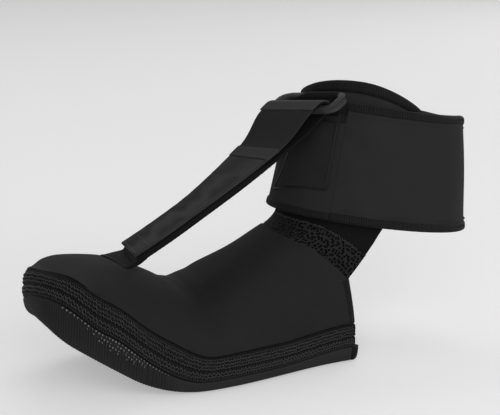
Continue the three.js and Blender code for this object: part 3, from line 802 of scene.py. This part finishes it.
def tilted(p):
    x, y, z = p[..., 0], p[..., 1], p[..., 2]
    c, s = math.cos(CUFF_TILT), math.sin(CUFF_TILT)
    return point(CUFF_X + c * x + s * z, y, CUFF_Z - s * x + c * z)


def cuff_place(angle, v, depth):
    return tilted(cuff_local(angle, v, depth))


def wrap_place(angle, v, depth):
    front, rear = smooth(angle, deg(-62), deg(-25)), smooth(-angle, deg(95), deg(140))
    return cuff_place(angle, v * (1 - 0.11 * front - 0.045 * rear * v), depth)


WRAP = (OVERLAP - 2 * PI, FLAP_START - SEAM)
UNDER_FLAP = FABRIC + 1.8 + 3 * FIT


def wrap_sink(angle, extra=0.0):
    return UNDER_FLAP * smooth(-angle, deg(140), deg(168)) + extra


cuff_ripple = ripples(30, 0.5, 12)
wrap_us = even(wrap_place, *WRAP, 0.9)
wrap_v, wrap_f = section(HEM - 0.02, 1 - HEM + 0.02, 60, CUFF_HEIGHT, 1.3)
wrap = loft("cuff_wrap_cloth", wrap_place, wrap_us, wrap_v, wrap_f, lambda u, v: wrap_sink(u),
            lambda u, v: wrap_sink(u, 2.8), [CUFF, LINING], soft=cuff_ripple)
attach(wrap, "cuff")
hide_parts("cuff_wrap")
cloth_sheet(wrap)
for edge, (v0, v1) in (("bottom", (0.0, HEM)), ("top", (1 - HEM, 1.0))):
    made = overlock(f"wrap_edge_{edge}", wrap_place, even(wrap_place, *WRAP, 0.32), v0, v1, CUFF_HEIGHT,
                    lambda u, v: wrap_sink(u, -0.3 * (1 - smooth(-u, deg(140), deg(160)))),
                    lambda u, v: wrap_sink(u, 3.2), "cuff")
    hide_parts(f"wrap_binding_{edge}")



def flap_place(angle, v, depth):
    """The flap's cloth, its upper corner eased down towards its free end."""
    return cuff_place(angle, v * (1 - 0.05 * smooth(angle, deg(140), FLAP_END)), depth)


flap_us = even(flap_place, FLAP_START - SEAM * 0.9, FLAP_END - deg(4), 0.9)
flap_v, flap_f = section(HEM - 0.02, 1 - HEM + 0.02, 60, CUFF_HEIGHT, 1.3)


def flap_soft(p):
    """Soft unevenness, with slack folds fanning from the front seam under the ring."""
    x, z = p[..., 0] - 31, p[..., 2] - 132
    fan = np.sin(np.arctan2(z, np.maximum(x, 0.1)) * 9) * smooth(x, 2, 16) * (1 - smooth(x, 16, 55))
    return cuff_ripple(p) + 0.28 * fan


flap = loft("flap_cloth", flap_place, flap_us, flap_v, flap_f, 0.0, 2.8, [CUFF, LINING], soft=flap_soft)
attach(flap, "flap")
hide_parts("cuff_flap")
cloth_sheet(flap)
for edge, (v0, v1) in (("bottom", (0.0, HEM)), ("top", (1 - HEM, 1.0))):
    made = overlock(f"flap_edge_{edge}", flap_place, even(flap_place, FLAP_START - SEAM * 0.9, FLAP_END - deg(4), 0.32),
                    v0, v1, CUFF_HEIGHT, -0.3, 3.2, "flap", extra=0.3)
    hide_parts(f"flap_binding_{edge}")


def flap_side(v, angle, depth):
    return flap_place(angle, v, depth)


made = overlock("flap_edge_end", flap_side, even(flap_side, 0, 1, 0.32, FLAP_END), FLAP_END - deg(3.6), FLAP_END,
                48, -0.3, 3.2, "flap")
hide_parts("flap_binding_end")

loop_v, loop_f = section(0.14, 0.86, 40, CUFF_HEIGHT, 0.4)
loop = loft("loop_strip", cuff_place, even(cuff_place, OVERLAP + deg(4), FLAP_END, 0.9), loop_v, loop_f,
            UNDER_FLAP - FIT - 0.9, UNDER_FLAP - FIT, [LOOP], soft=ripples(1.3, 0.1, 4, 16))
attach(loop, "cuff")
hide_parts("closure_loop")
cloth_sheet(loop)
hook_v, hook_f = section(0.16, 0.84, 40, CUFF_HEIGHT, 0.4)
hooks = loft("hook_strip", cuff_place, even(cuff_place, deg(146), FLAP_END - deg(6), 0.7), hook_v, hook_f,
             FABRIC + FIT, FABRIC + FIT + 0.9, [LOOP], soft=ripples(1.1, 0.1, 6, 16))
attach(hooks, "flap")
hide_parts("closure_hook")
cloth_sheet(hooks)

# The patch over the cuff's front, in its own shares: across from the far fold, and up.


def patch_place(across, up, depth):
    far = deg(-3) + deg(13) * np.clip(up, 0, 1) ** 0.6
    low = lerp(0.165, 0.262, across) + 0.015 * np.sin(across * PI)
    return cuff_place(lerp(far, deg(42), across), lerp(low, 0.895, up), depth)


def patch_side(up, across, depth):
    return patch_place(across, up, depth)


PATCH_OUT = -1.45
patch_v, patch_f = section(0.0, 1.0, 60, 42, 0.5)
patch = loft("front_patch", patch_place, even(patch_place, 0, 1, 0.6), patch_v, patch_f,
             lambda u, v: PATCH_OUT * (1 - 0.8 * np.exp(-(u / 0.07) ** 2)) + 0 * v, -0.1, [PATCH],
             soft=ripples(18, 0.35, 21))
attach(patch, "cuff")
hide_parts("ring_patch")
cloth_sheet(patch)

patch_rows = [
    running(patch_side, 0.04, 0.88, 2.9, 0.965, depth=PATCH_OUT, rise=0.4, sink=0.15),
    zigzag(patch_side, 0.45, 0.88, 3.1, 0.955, 0.012, depth=PATCH_OUT, rise=0.25, sink=0.2),
]
patch_threads = tubes("patch_stitches", patch_rows, 0.34, DARK_THREAD)
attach(patch_threads, "cuff")


def seam_line(place, u0, u1, v, depth, count=60):
    """An unbroken line along a surface."""
    u = np.linspace(u0, u1, count)
    return place(u, u * 0 + v, u * 0 + depth), normal_of(place, u, u * 0 + v, u * 0 + depth)


# Painted shade: thin lines of dark thread colour in the folds that its far and lower sides lie in, and in a short one
# near its top.
crease_shade_lines = tubes("patch_crease_shade_lines", [
    seam_line(patch_side, -0.01, 0.99, 0.012, -0.35),
    seam_line(patch_place, 0.0, 1.0, -0.010, -0.25),
], 0.6, DARK_THREAD, sides=8)
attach(crease_shade_lines, "cuff")
# The short line near the top is painted shade under the ring.
top_shade_line = tubes("patch_top_shade_line", [seam_line(patch_place, 0.5, 1.0, 0.885, PATCH_OUT + 0.05)], 0.42,
                   DARK_THREAD, sides=6)
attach(top_shade_line, "cuff")

cuff_rows = [
    running(flap_place, FLAP_START + deg(2), FLAP_END - deg(6), 2.4, HEM + 0.02, depth=0.0),
    running(flap_place, FLAP_START + deg(2), FLAP_END - deg(6), 2.4, 1 - HEM - 0.02, depth=0.0),
    running(flap_side, 0.12, 0.9, 2.4, FLAP_END - deg(7.5), depth=0.0),
]
flap_threads = tubes("flap_stitches", cuff_rows, 0.2, DARK_THREAD)
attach(flap_threads, "flap")

# ---- tongue -------------------------------------------------------------------------------------
REACH, PEAK, FAR_FALL = deg(100), deg(51), deg(88)
TONGUE_DEPTH, TONGUE_THICK, TONGUE_HEM = FABRIC + 0.9, 4.0, 0.885


def tongue_place(angle, share, depth):
    fall = np.where(angle > PEAK, REACH - PEAK, FAR_FALL)
    away = np.minimum(1, np.abs(angle - PEAK) / fall)
    rise = np.maximum(np.cos(away * PI / 2), 0) ** np.where(angle > PEAK, 0.8, 1.5)
    return cuff_place(angle, lerp(0.34, 1 + 0.182 * rise, share), depth)


tongue_us = even(tongue_place, -REACH, REACH, 1.2, 1.0, TONGUE_DEPTH)
tongue_v, tongue_f = section(0, TONGUE_HEM, 40, 45, 1.9, 8)
tongue = loft("tongue_pad", tongue_place, tongue_us, tongue_v, tongue_f, TONGUE_DEPTH, TONGUE_DEPTH + TONGUE_THICK,
              [CUFF, LINING], soft=ripples(22, 0.3, 31))
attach(tongue, "cuff")
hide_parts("tongue")
made = overlock("tongue_edge", tongue_place, even(tongue_place, -REACH, REACH, 0.32, 1.0, TONGUE_DEPTH),
                TONGUE_HEM - 0.005, 1.0, 45, TONGUE_DEPTH - 0.2, TONGUE_DEPTH + TONGUE_THICK + 0.2, "cuff")
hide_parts("tongue_binding")

# ---- ankle: pore tape and panel -------------------------------------------------------------------


def ankle_place(angle, share, depth):
    start = arch(rear_x(angle) + FIT, angle, depth)
    turn = lerp(deg(88), -deg(88), (angle - CORNER) / (PI - 2 * CORNER))
    end = cuff_place(turn, 0.2 + 0 * turn, FABRIC + 3.6 + depth)
    bend = np.sin(angle) ** 2
    middle = (start + end) / 2 + point(5 * bend, 0, -8 * bend)
    k = np.asarray(share)[..., None]
    return start * (1 - k) ** 2 + middle * 2 * k * (1 - k) + end * k ** 2


ANKLE = (CORNER + deg(0.5), PI - CORNER - deg(0.5))


def pore_place(angle, share, depth):
    """The pore tape narrows towards its two ends."""
    up = np.minimum(angle, PI - angle)
    return ankle_place(angle, share * lerp(0.66, 1, smooth(up, CORNER, CORNER + deg(42))), depth)


mesh_v, mesh_f = section(-0.07, 0.5, 60, 26, 0.9)


def mesh_relief(s, t):
    """A narrow flat margin and a groove at the lower edge, and a low roll at the upper one."""
    wide = t.max() * 0.5
    low = -0.55 * np.exp(-((t - 3.2) / 0.45) ** 2)
    high = 0.35 * np.exp(-((t - wide + 1.3) / 0.6) ** 2)
    return (low + high) * (t < wide)


pore_tape = loft("pore_tape", pore_place, even(pore_place, *ANKLE, 0.6, 0.25), mesh_v, mesh_f, -0.3, 1.9,
                 [PORES, LINING], relief=mesh_relief, soft=ripples(16, 0.3, 41))
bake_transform(pore_tape)
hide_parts("mesh_tape")
cloth_sheet(pore_tape)
# The panel's colour carries painted shade from the cuff above it.
panel_v, panel_f = section(0.3, 1.0, 44, 26, 1.0)
panel = loft("ankle_panel_cloth", ankle_place, even(ankle_place, *ANKLE, 1.0, 0.7), panel_v, panel_f, 0.3, 2.3,
             [SHADED_PANEL, LINING], soft=ripples(14, 0.4, 43))
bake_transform(panel)
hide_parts("ankle_panel")
cloth_sheet(panel)

ankle_rows = [
    zigzag(pore_place, *ANKLE, 2.2, 0.46, 0.02, depth=-0.5, rise=0.15),
]
ankle_threads = tubes("ankle_stitches", ankle_rows, 0.15, THREAD)
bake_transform(ankle_threads)

# ---- strap --------------------------------------------------------------------------------------
RUN = STRAP_HEAD - STRAP_FOOT
LENGTH = float(np.linalg.norm(RUN))
ALONG = RUN / LENGTH


def across_strap(turn, tilt):
    turn, tilt = np.asarray(turn, float), np.asarray(tilt, float)
    return point(np.cos(tilt) * np.sin(turn), -np.cos(tilt) * np.cos(turn), np.sin(tilt))


def strap_point(p, lift, w):
    share = np.clip(p / LENGTH, 0, 1)
    twist = smooth(share, 0.3, 0.96)
    across = across_strap(lerp(deg(-6), RING_TURN, twist), RING_TILT * twist)
    out = np.cross(across, ALONG)
    out /= np.linalg.norm(out, axis=-1)[..., None]
    sag = -4 * STRAP_SAG * share * (1 - share)
    return (STRAP_FOOT + ALONG * np.asarray(p)[..., None] + out * np.asarray(lift + sag)[..., None]
            + across * np.asarray(w * STRAP_WIDTH / 2 * (1 + 0.12 * smooth(share, 0.76, 0.99)))[..., None])


FOLD = BAR_RADIUS + RING_PLAY
RETURN = LENGTH - 5
HEM_P = (0.695 * LENGTH, 0.76 * LENGTH)
LAYER = WEBBING + 0.5


def strip(name, path, d0, d1, looks, width=1.0, step=0.7, relief=None, rim=4, count=34):
    """A strip of webbing along a path of (p, lift) points; depth stands off to the path's left."""
    path = np.asarray(path, float)
    run = np.concatenate([[0], np.cumsum(np.linalg.norm(np.diff(path, axis=0), axis=1))])
    slope = np.gradient(path, run, axis=0)

    def place(u, w, depth):
        p, q = np.interp(u, run, path[:, 0]), np.interp(u, run, path[:, 1])
        tp, tq = np.interp(u, run, slope[:, 0]), np.interp(u, run, slope[:, 1])
        size = np.hypot(tp, tq)
        return strap_point(p - tq / size * depth, q + tp / size * depth, w)

    us = np.linspace(0, run[-1], int(run[-1] / step) + 2)
    v, f = section(-width, width, count, STRAP_WIDTH / 2, 0.75, rim)
    return loft(name, place, us, v, f, d0, d1, looks, relief=relief), place, run[-1]


def arc(centre_p, centre_q, radius, a0, a1, count):
    a = np.linspace(a0, a1, count)
    return np.stack([centre_p + radius * np.cos(a), centre_q + radius * np.sin(a)], axis=-1)


def selvedge(sign=1):
    """Webbing's thicker woven edges and its fine weft ribs."""
    def relief(s, t):
        wide = t.max() * 0.5
        edge = np.exp(-((t - 1.6) / 0.7) ** 2) + np.exp(-((t - wide + 0.8) / 0.7) ** 2)
        return sign * (0.16 * edge + 0.05 * np.cos(2 * PI * s / 1.0)) * (t < wide)
    return relief


SNUG = BAR_RADIUS + 1.1  # the fold's inner radius round the bar
lower_p = np.linspace(0.5, LENGTH, 90)
lower_path = np.concatenate([
    np.stack([lower_p, (FOLD - SNUG) * smooth(lower_p, LENGTH - 16, LENGTH - 1)], axis=-1),
    arc(LENGTH, FOLD, SNUG, -PI / 2, PI / 2, 20)[1:],
    np.stack([np.linspace(LENGTH, RETURN + 0.2, 6), np.full(6, FOLD + SNUG)], axis=-1)[1:],
])


def pile(u, v):
    """The lower layer's loop pile, thick enough to meet the hook tape."""
    return 1.6 * (1 - smooth(u, 70, 86)) * smooth(u, 1, 4)


lower, lower_place, lower_run = strip("strap_lower_web", lower_path, -WEBBING, pile, [UNDER, UNDER], relief=selvedge())
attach(lower, "strap")
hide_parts("strap_lower")
cloth_sheet(lower)

# A lighter copy of the webbing laid round the fold: a painted highlight where the fold turns up to the light.
fold_highlight_us = np.linspace(lower_run - 8.8, lower_run - 0.1, 26)
fold_highlight_v, fold_highlight_f = section(-1.01, 1.01, 34, STRAP_WIDTH / 2, 0.3)
fold_highlight_band = loft("strap_fold_highlight_band", lower_place, fold_highlight_us, fold_highlight_v, fold_highlight_f, -WEBBING - 0.75, -WEBBING + 0.1,
                 [FOLD_HIGHLIGHT_WEB])
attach(fold_highlight_band, "strap")


def bezier(p0, p1, p2, p3, count):
    t = np.linspace(0, 1, count)[:, None]
    return ((1 - t) ** 3 * np.array(p0) + 3 * t * (1 - t) ** 2 * np.array(p1)
            + 3 * t ** 2 * (1 - t) * np.array(p2) + t ** 3 * np.array(p3))


return_path = bezier((RETURN + 0.1, FOLD + SNUG), (RETURN - 6, FOLD + SNUG), (RETURN - 11, LAYER + 0.6),
                     (HEM_P[1] - 0.2, LAYER), 40)
back_run, return_place, return_run = strip("strap_return_web", return_path, -WEBBING, 0.0, [WEB, WEB],
                                           relief=selvedge())
hinge = strap_point(np.array(RETURN), np.array(2 * FOLD), np.array(0.0)) * 0.001
lower_end = strap_point(np.array(RETURN - 9), np.array(2 * FOLD - 3), np.array(0.0)) * 0.001
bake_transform(back_run)
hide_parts("strap_return")
cloth_sheet(back_run)


def straight_path(p0, p1, lift, count=60):
    return np.stack([np.linspace(p0, p1, count), np.full(count, lift)], axis=-1)


def hem_relief(s, t):
    wide = t.max() * 0.5
    edge = np.exp(-((t - 1.9) / 0.8) ** 2) + np.exp(-((t - wide + 0.6) / 0.8) ** 2)
    return 0.14 * edge * (t < wide)


hem, hem_place, hem_run = strip("strap_hem_band", straight_path(HEM_P[0] + 0.1, HEM_P[1], LAYER),
                                WEBBING + 0.8, 0.0, [HOOK], relief=hem_relief, rim=6)
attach(hem, "strap_end")
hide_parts("strap_hem")


def hook_relief(s, t):
    """Long ribs with a slightly wavy run, and a sealed edge."""
    wide = t.max() * 0.5
    rib = np.cos(2 * PI * (t + 0.25 * np.sin(s / 5.1) + 0.12 * np.sin(s / 1.7)) / 1.15)
    edge = np.exp(-((t - 1.7) / 0.6) ** 2) + np.exp(-((t - wide + 0.7) / 0.6) ** 2)
    ends = 0.3 * np.exp(-(s / 0.8) ** 2)
    return (0.09 * rib + 0.12 * edge + ends) * (t < wide)


tape_end, hook_place, hook_run = strip("hook_tape_end", straight_path(3, HEM_P[0] - 0.2, LAYER), WEBBING + 0.2,
                                       0.0, [HOOK, LOOP], relief=hook_relief, step=0.6, count=150)
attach(tape_end, "strap_end")
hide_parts("hook_tape")
cloth_sheet(tape_end)

hook_top = WEBBING + 0.2
cross = [
    running(hook_place, 1.6, 9.0, 2.4, w, depth=hook_top) for w in (-0.86, 0.86)]


def hook_side(w, u, depth):
    return hook_place(u, w, depth)


def flipped(rows):
    """Returns the rows unchanged. The strap's depth runs outward, so a row's proud and sunk points change places."""
    return rows


strap_rows = []
for u in (1.6, 9.0):
    strap_rows.append(running(hook_side, -0.86, 0.86, 2.4, u, depth=hook_top, rise=-0.15, sink=-0.3))
for w in (-0.86, 0.86):
    strap_rows.append(running(hook_place, 1.6, 9.0, 2.4, w, depth=hook_top, rise=-0.15, sink=-0.3))
for w in (-0.9, 0.9):
    strap_rows.append(running(hook_place, 9.0, hook_run - 1, 2.6, w, depth=hook_top, rise=-0.15, sink=-0.3))


def hem_side(w, u, depth):
    return hem_place(u, w, depth)


for u in (1.3, hem_run - 1.2):
    strap_rows.append(running(hem_side, -0.92, 0.92, 2.2, u, depth=WEBBING + 0.8, rise=-0.15, sink=-0.3))
strap_threads = tubes("strap_stitches", strap_rows, 0.15, THREAD)
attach(strap_threads, "strap_end")

# The strap's foot: sewn flat on the toe box, then lifting off towards the strap.
FOOT_X = STRAP_FOOT[0] - 8


def on_toes(x, w):
    reach = (w * STRAP_WIDTH / 2) / half_width(x)
    side = np.arccos(np.clip(np.abs(reach), 0, 1) ** (1 / 0.82))
    return arch(x, np.where(reach > 0, PI - side, side), -0.1)


def foot_curve(u, w):
    w = np.broadcast_to(w, np.broadcast_shapes(np.shape(u), np.shape(w)))
    sewn = on_toes(FOOT_X + 1.2 * w, -w)
    top = strap_point(7.0 + 0 * w, -WEBBING - 0.2 + 0 * w, w)
    k = np.broadcast_to(u, w.shape)[..., None]
    return ((1 - k) ** 3 * sewn + 3 * k * (1 - k) ** 2 * (sewn + np.array([7.5, 0, -0.4]))
            + 3 * k ** 2 * (1 - k) * (top - ALONG * 6) + k ** 3 * top)


def foot_place(u, w, depth):
    u, w, depth = np.broadcast_arrays(u, w, depth)
    along = foot_curve(u + 0.01, w) - foot_curve(u - 0.01, w)
    side = foot_curve(u, w + 0.01) - foot_curve(u, w - 0.01)
    out = np.cross(side, along)
    out /= np.linalg.norm(out, axis=-1)[..., None]
    return foot_curve(u, w) - out * depth[..., None]


foot_v, foot_f = section(-1, 1, 34, 15, 0.7)
strap_foot = loft("strap_foot", foot_place, np.linspace(0.0, 1.0, 44), foot_v, foot_f,
                  lambda u, w: -0.35 - 0.95 * smooth(u, 0.0, 0.4) + 0 * w,
                  lambda u, w: 0.9 - 0.8 * smooth(u, 0.0, 0.4) + 0 * w, [UNDER, UNDER], relief=selvedge())
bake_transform(strap_foot)
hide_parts("strap_anchor")
cloth_sheet(strap_foot)


def foot_side(w, u, depth):
    return foot_place(u, w, depth)


foot_rows = [running(foot_side, -0.9, 0.9, 2.2, u, depth=-0.35 - 0.95 * float(smooth(u, 0.0, 0.4))) for u in (0.06, 0.3)]
foot_threads = tubes("foot_stitches", foot_rows, 0.13, DARK_THREAD)
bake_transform(foot_threads)

# ---- ring and keeper ----------------------------------------------------------------------------
ACROSS = across_strap(RING_TURN, RING_TILT)
INWARD = np.array([math.cos(RING_TURN), math.sin(RING_TURN), 0.0])
UPWARD = np.cross(ACROSS, INWARD)
RING_IN = INWARD * math.cos(RING_RISE) + UPWARD * math.sin(RING_RISE)
RING_FACE = np.cross(ACROSS, RING_IN)
BAR = strap_point(np.array(LENGTH), np.array(FOLD), np.array(0.0)) + ACROSS * (FOLD * float(ALONG @ ACROSS) + 0.8)
WINDOW_W, WINDOW_H, LIMB = STRAP_WIDTH + 5.5, BAR_SPACING - 2 * BAR_RADIUS, 3.2


def rounded_slot(width, height, r, count):
    """A slot's outline with rounded corners, one row of points for each corner and side."""
    across, up = width / 2 - r, height / 2 - r
    quarter = np.linspace(0, PI / 2, count)
    corner = np.stack([across + r * np.cos(quarter), up + r * np.sin(quarter)], axis=-1)
    top = np.stack([np.linspace(across, -across, count)[1:-1], np.full(count - 2, height / 2)], axis=-1)
    end = np.stack([np.full(count // 2, -width / 2), np.linspace(up, -up, count // 2 + 2)[1:-1]], axis=-1)
    half = np.concatenate([corner, top, corner[::-1] * [-1, 1], end])
    return np.concatenate([half, -half])


def ring_piece():
    """A flat moulded slot ring: crowned limbs, with a raised oval on each end's outer face."""
    outer = rounded_slot(WINDOW_W + 2 * LIMB, BAR_SPACING + 2 * BAR_RADIUS, 6.5, 20)
    inner = rounded_slot(WINDOW_W, WINDOW_H, 3.2, 20)
    n, m = len(outer), 48
    turn = np.arange(m) / m * 2 * PI
    middle, half = (outer + inner) / 2, (outer - inner) / 2
    cos = np.sign(np.cos(turn)) * np.abs(np.cos(turn)) ** 0.6
    sin = np.sign(np.sin(turn)) * np.abs(np.sin(turn)) ** 0.6
    end = smooth(np.abs(middle[:, 0]), WINDOW_W / 2 - 3, WINDOW_W / 2 + 1)
    high = BAR_RADIUS * (1 + 0.35 * end * np.cos(middle[:, 1] / BAR_SPACING * PI))
    # Round each end a rim stands on both sides of a shallow channel, with a ridge along its middle.
    lane = [np.exp(-((((turn - deg(a) + PI) % (2 * PI)) - PI) / deg(w)) ** 2) for a, w in
            ((30, 11), (-4, 12), (64, 12))]
    ridge = 0.4 * lane[0] - 0.45 * (lane[1] + lane[2])
    out = half / np.linalg.norm(half, axis=1)[:, None]
    plane = middle[:, None] + half[:, None] * cos[None, :, None] + (
        out[:, None] * (ridge * np.cos(turn))[None, :, None] * end[:, None, None])
    raised = end[:, None] * (ridge * np.sin(turn))[None, :]
    lift = high[:, None] * sin[None, :] + raised
    local = plane + np.array([0, BAR_SPACING / 2])
    verts = (BAR + local[..., :1] * ACROSS + local[..., 1:] * RING_IN + lift[..., None] * RING_FACE).reshape(-1, 3)
    i, j = np.meshgrid(np.arange(n), np.arange(m), indexing="ij")
    i2, j2 = (i + 1) % n, (j + 1) % m
    quads = np.stack([i * m + j, i2 * m + j, i2 * m + j2, i * m + j2], axis=-1).reshape(-1, 4)
    uv = np.stack([np.stack([(i + a) * 0.9, (j + b) * 0.7], axis=-1) for a, b in ((0, 0), (1, 0), (1, 1), (0, 1))],
                  axis=2).reshape(-1, 4, 2)
    if not outward(verts, quads):
        quads, uv = quads[:, ::-1], uv[:, ::-1]
    return mesh_object("slot_ring", verts, quads, uv, [PLASTIC], sharp=40)


ring = ring_piece()
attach(ring, "ring_body")
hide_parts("ring")

KEEPER_BAR = BAR + RING_IN * BAR_SPACING


def keeper_piece():
    """A loop of webbing round the ring's inner bar, its two ends sewn together on the cuff."""
    turns = np.linspace(deg(-30), deg(200), 40)
    r = BAR_RADIUS + 0.45
    loop = np.stack([r * np.cos(turns), r * np.sin(turns)], axis=-1)
    tail = np.array([-3.5, -9.4])
    near = loop[0] + (tail - loop[0]) * np.linspace(1, 0, 12)[:-1, None]
    far = loop[-1] + (tail - loop[-1]) * np.linspace(0, 1, 12)[1:, None]
    path = np.concatenate([near, loop, far])
    run = np.concatenate([[0], np.cumsum(np.linalg.norm(np.diff(path, axis=0), axis=1))])
    slope = np.gradient(path, run, axis=0)

    def place(u, w, depth):
        a, b = np.interp(u, run, path[:, 0]), np.interp(u, run, path[:, 1])
        ta, tb = np.interp(u, run, slope[:, 0]), np.interp(u, run, slope[:, 1])
        size = np.hypot(ta, tb)
        a, b = a + tb / size * (-depth), b - ta / size * (-depth)
        b = b - 2.4 * smooth(-w, 0.2, 1.0) * smooth(b, -2, 2)
        return (KEEPER_BAR + INWARD * a[..., None] + UPWARD * b[..., None]
                + ACROSS * np.asarray(w * (16.6 - 1.2 * smooth(b, -1, 3)))[..., None])

    v, f = section(-1, 1, 34, 16.6, 0.5)
    return loft("ring_keeper_web", place, np.linspace(0, run[-1], 90), v, f,
                lambda u, w: -0.3 * (1 - 1.6 * np.abs(w) ** 5) + 0 * u, 0.9, [UNDER, UNDER])


keeper = keeper_piece()
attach(keeper, "cuff")
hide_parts("ring_keeper")
cloth_sheet(keeper)
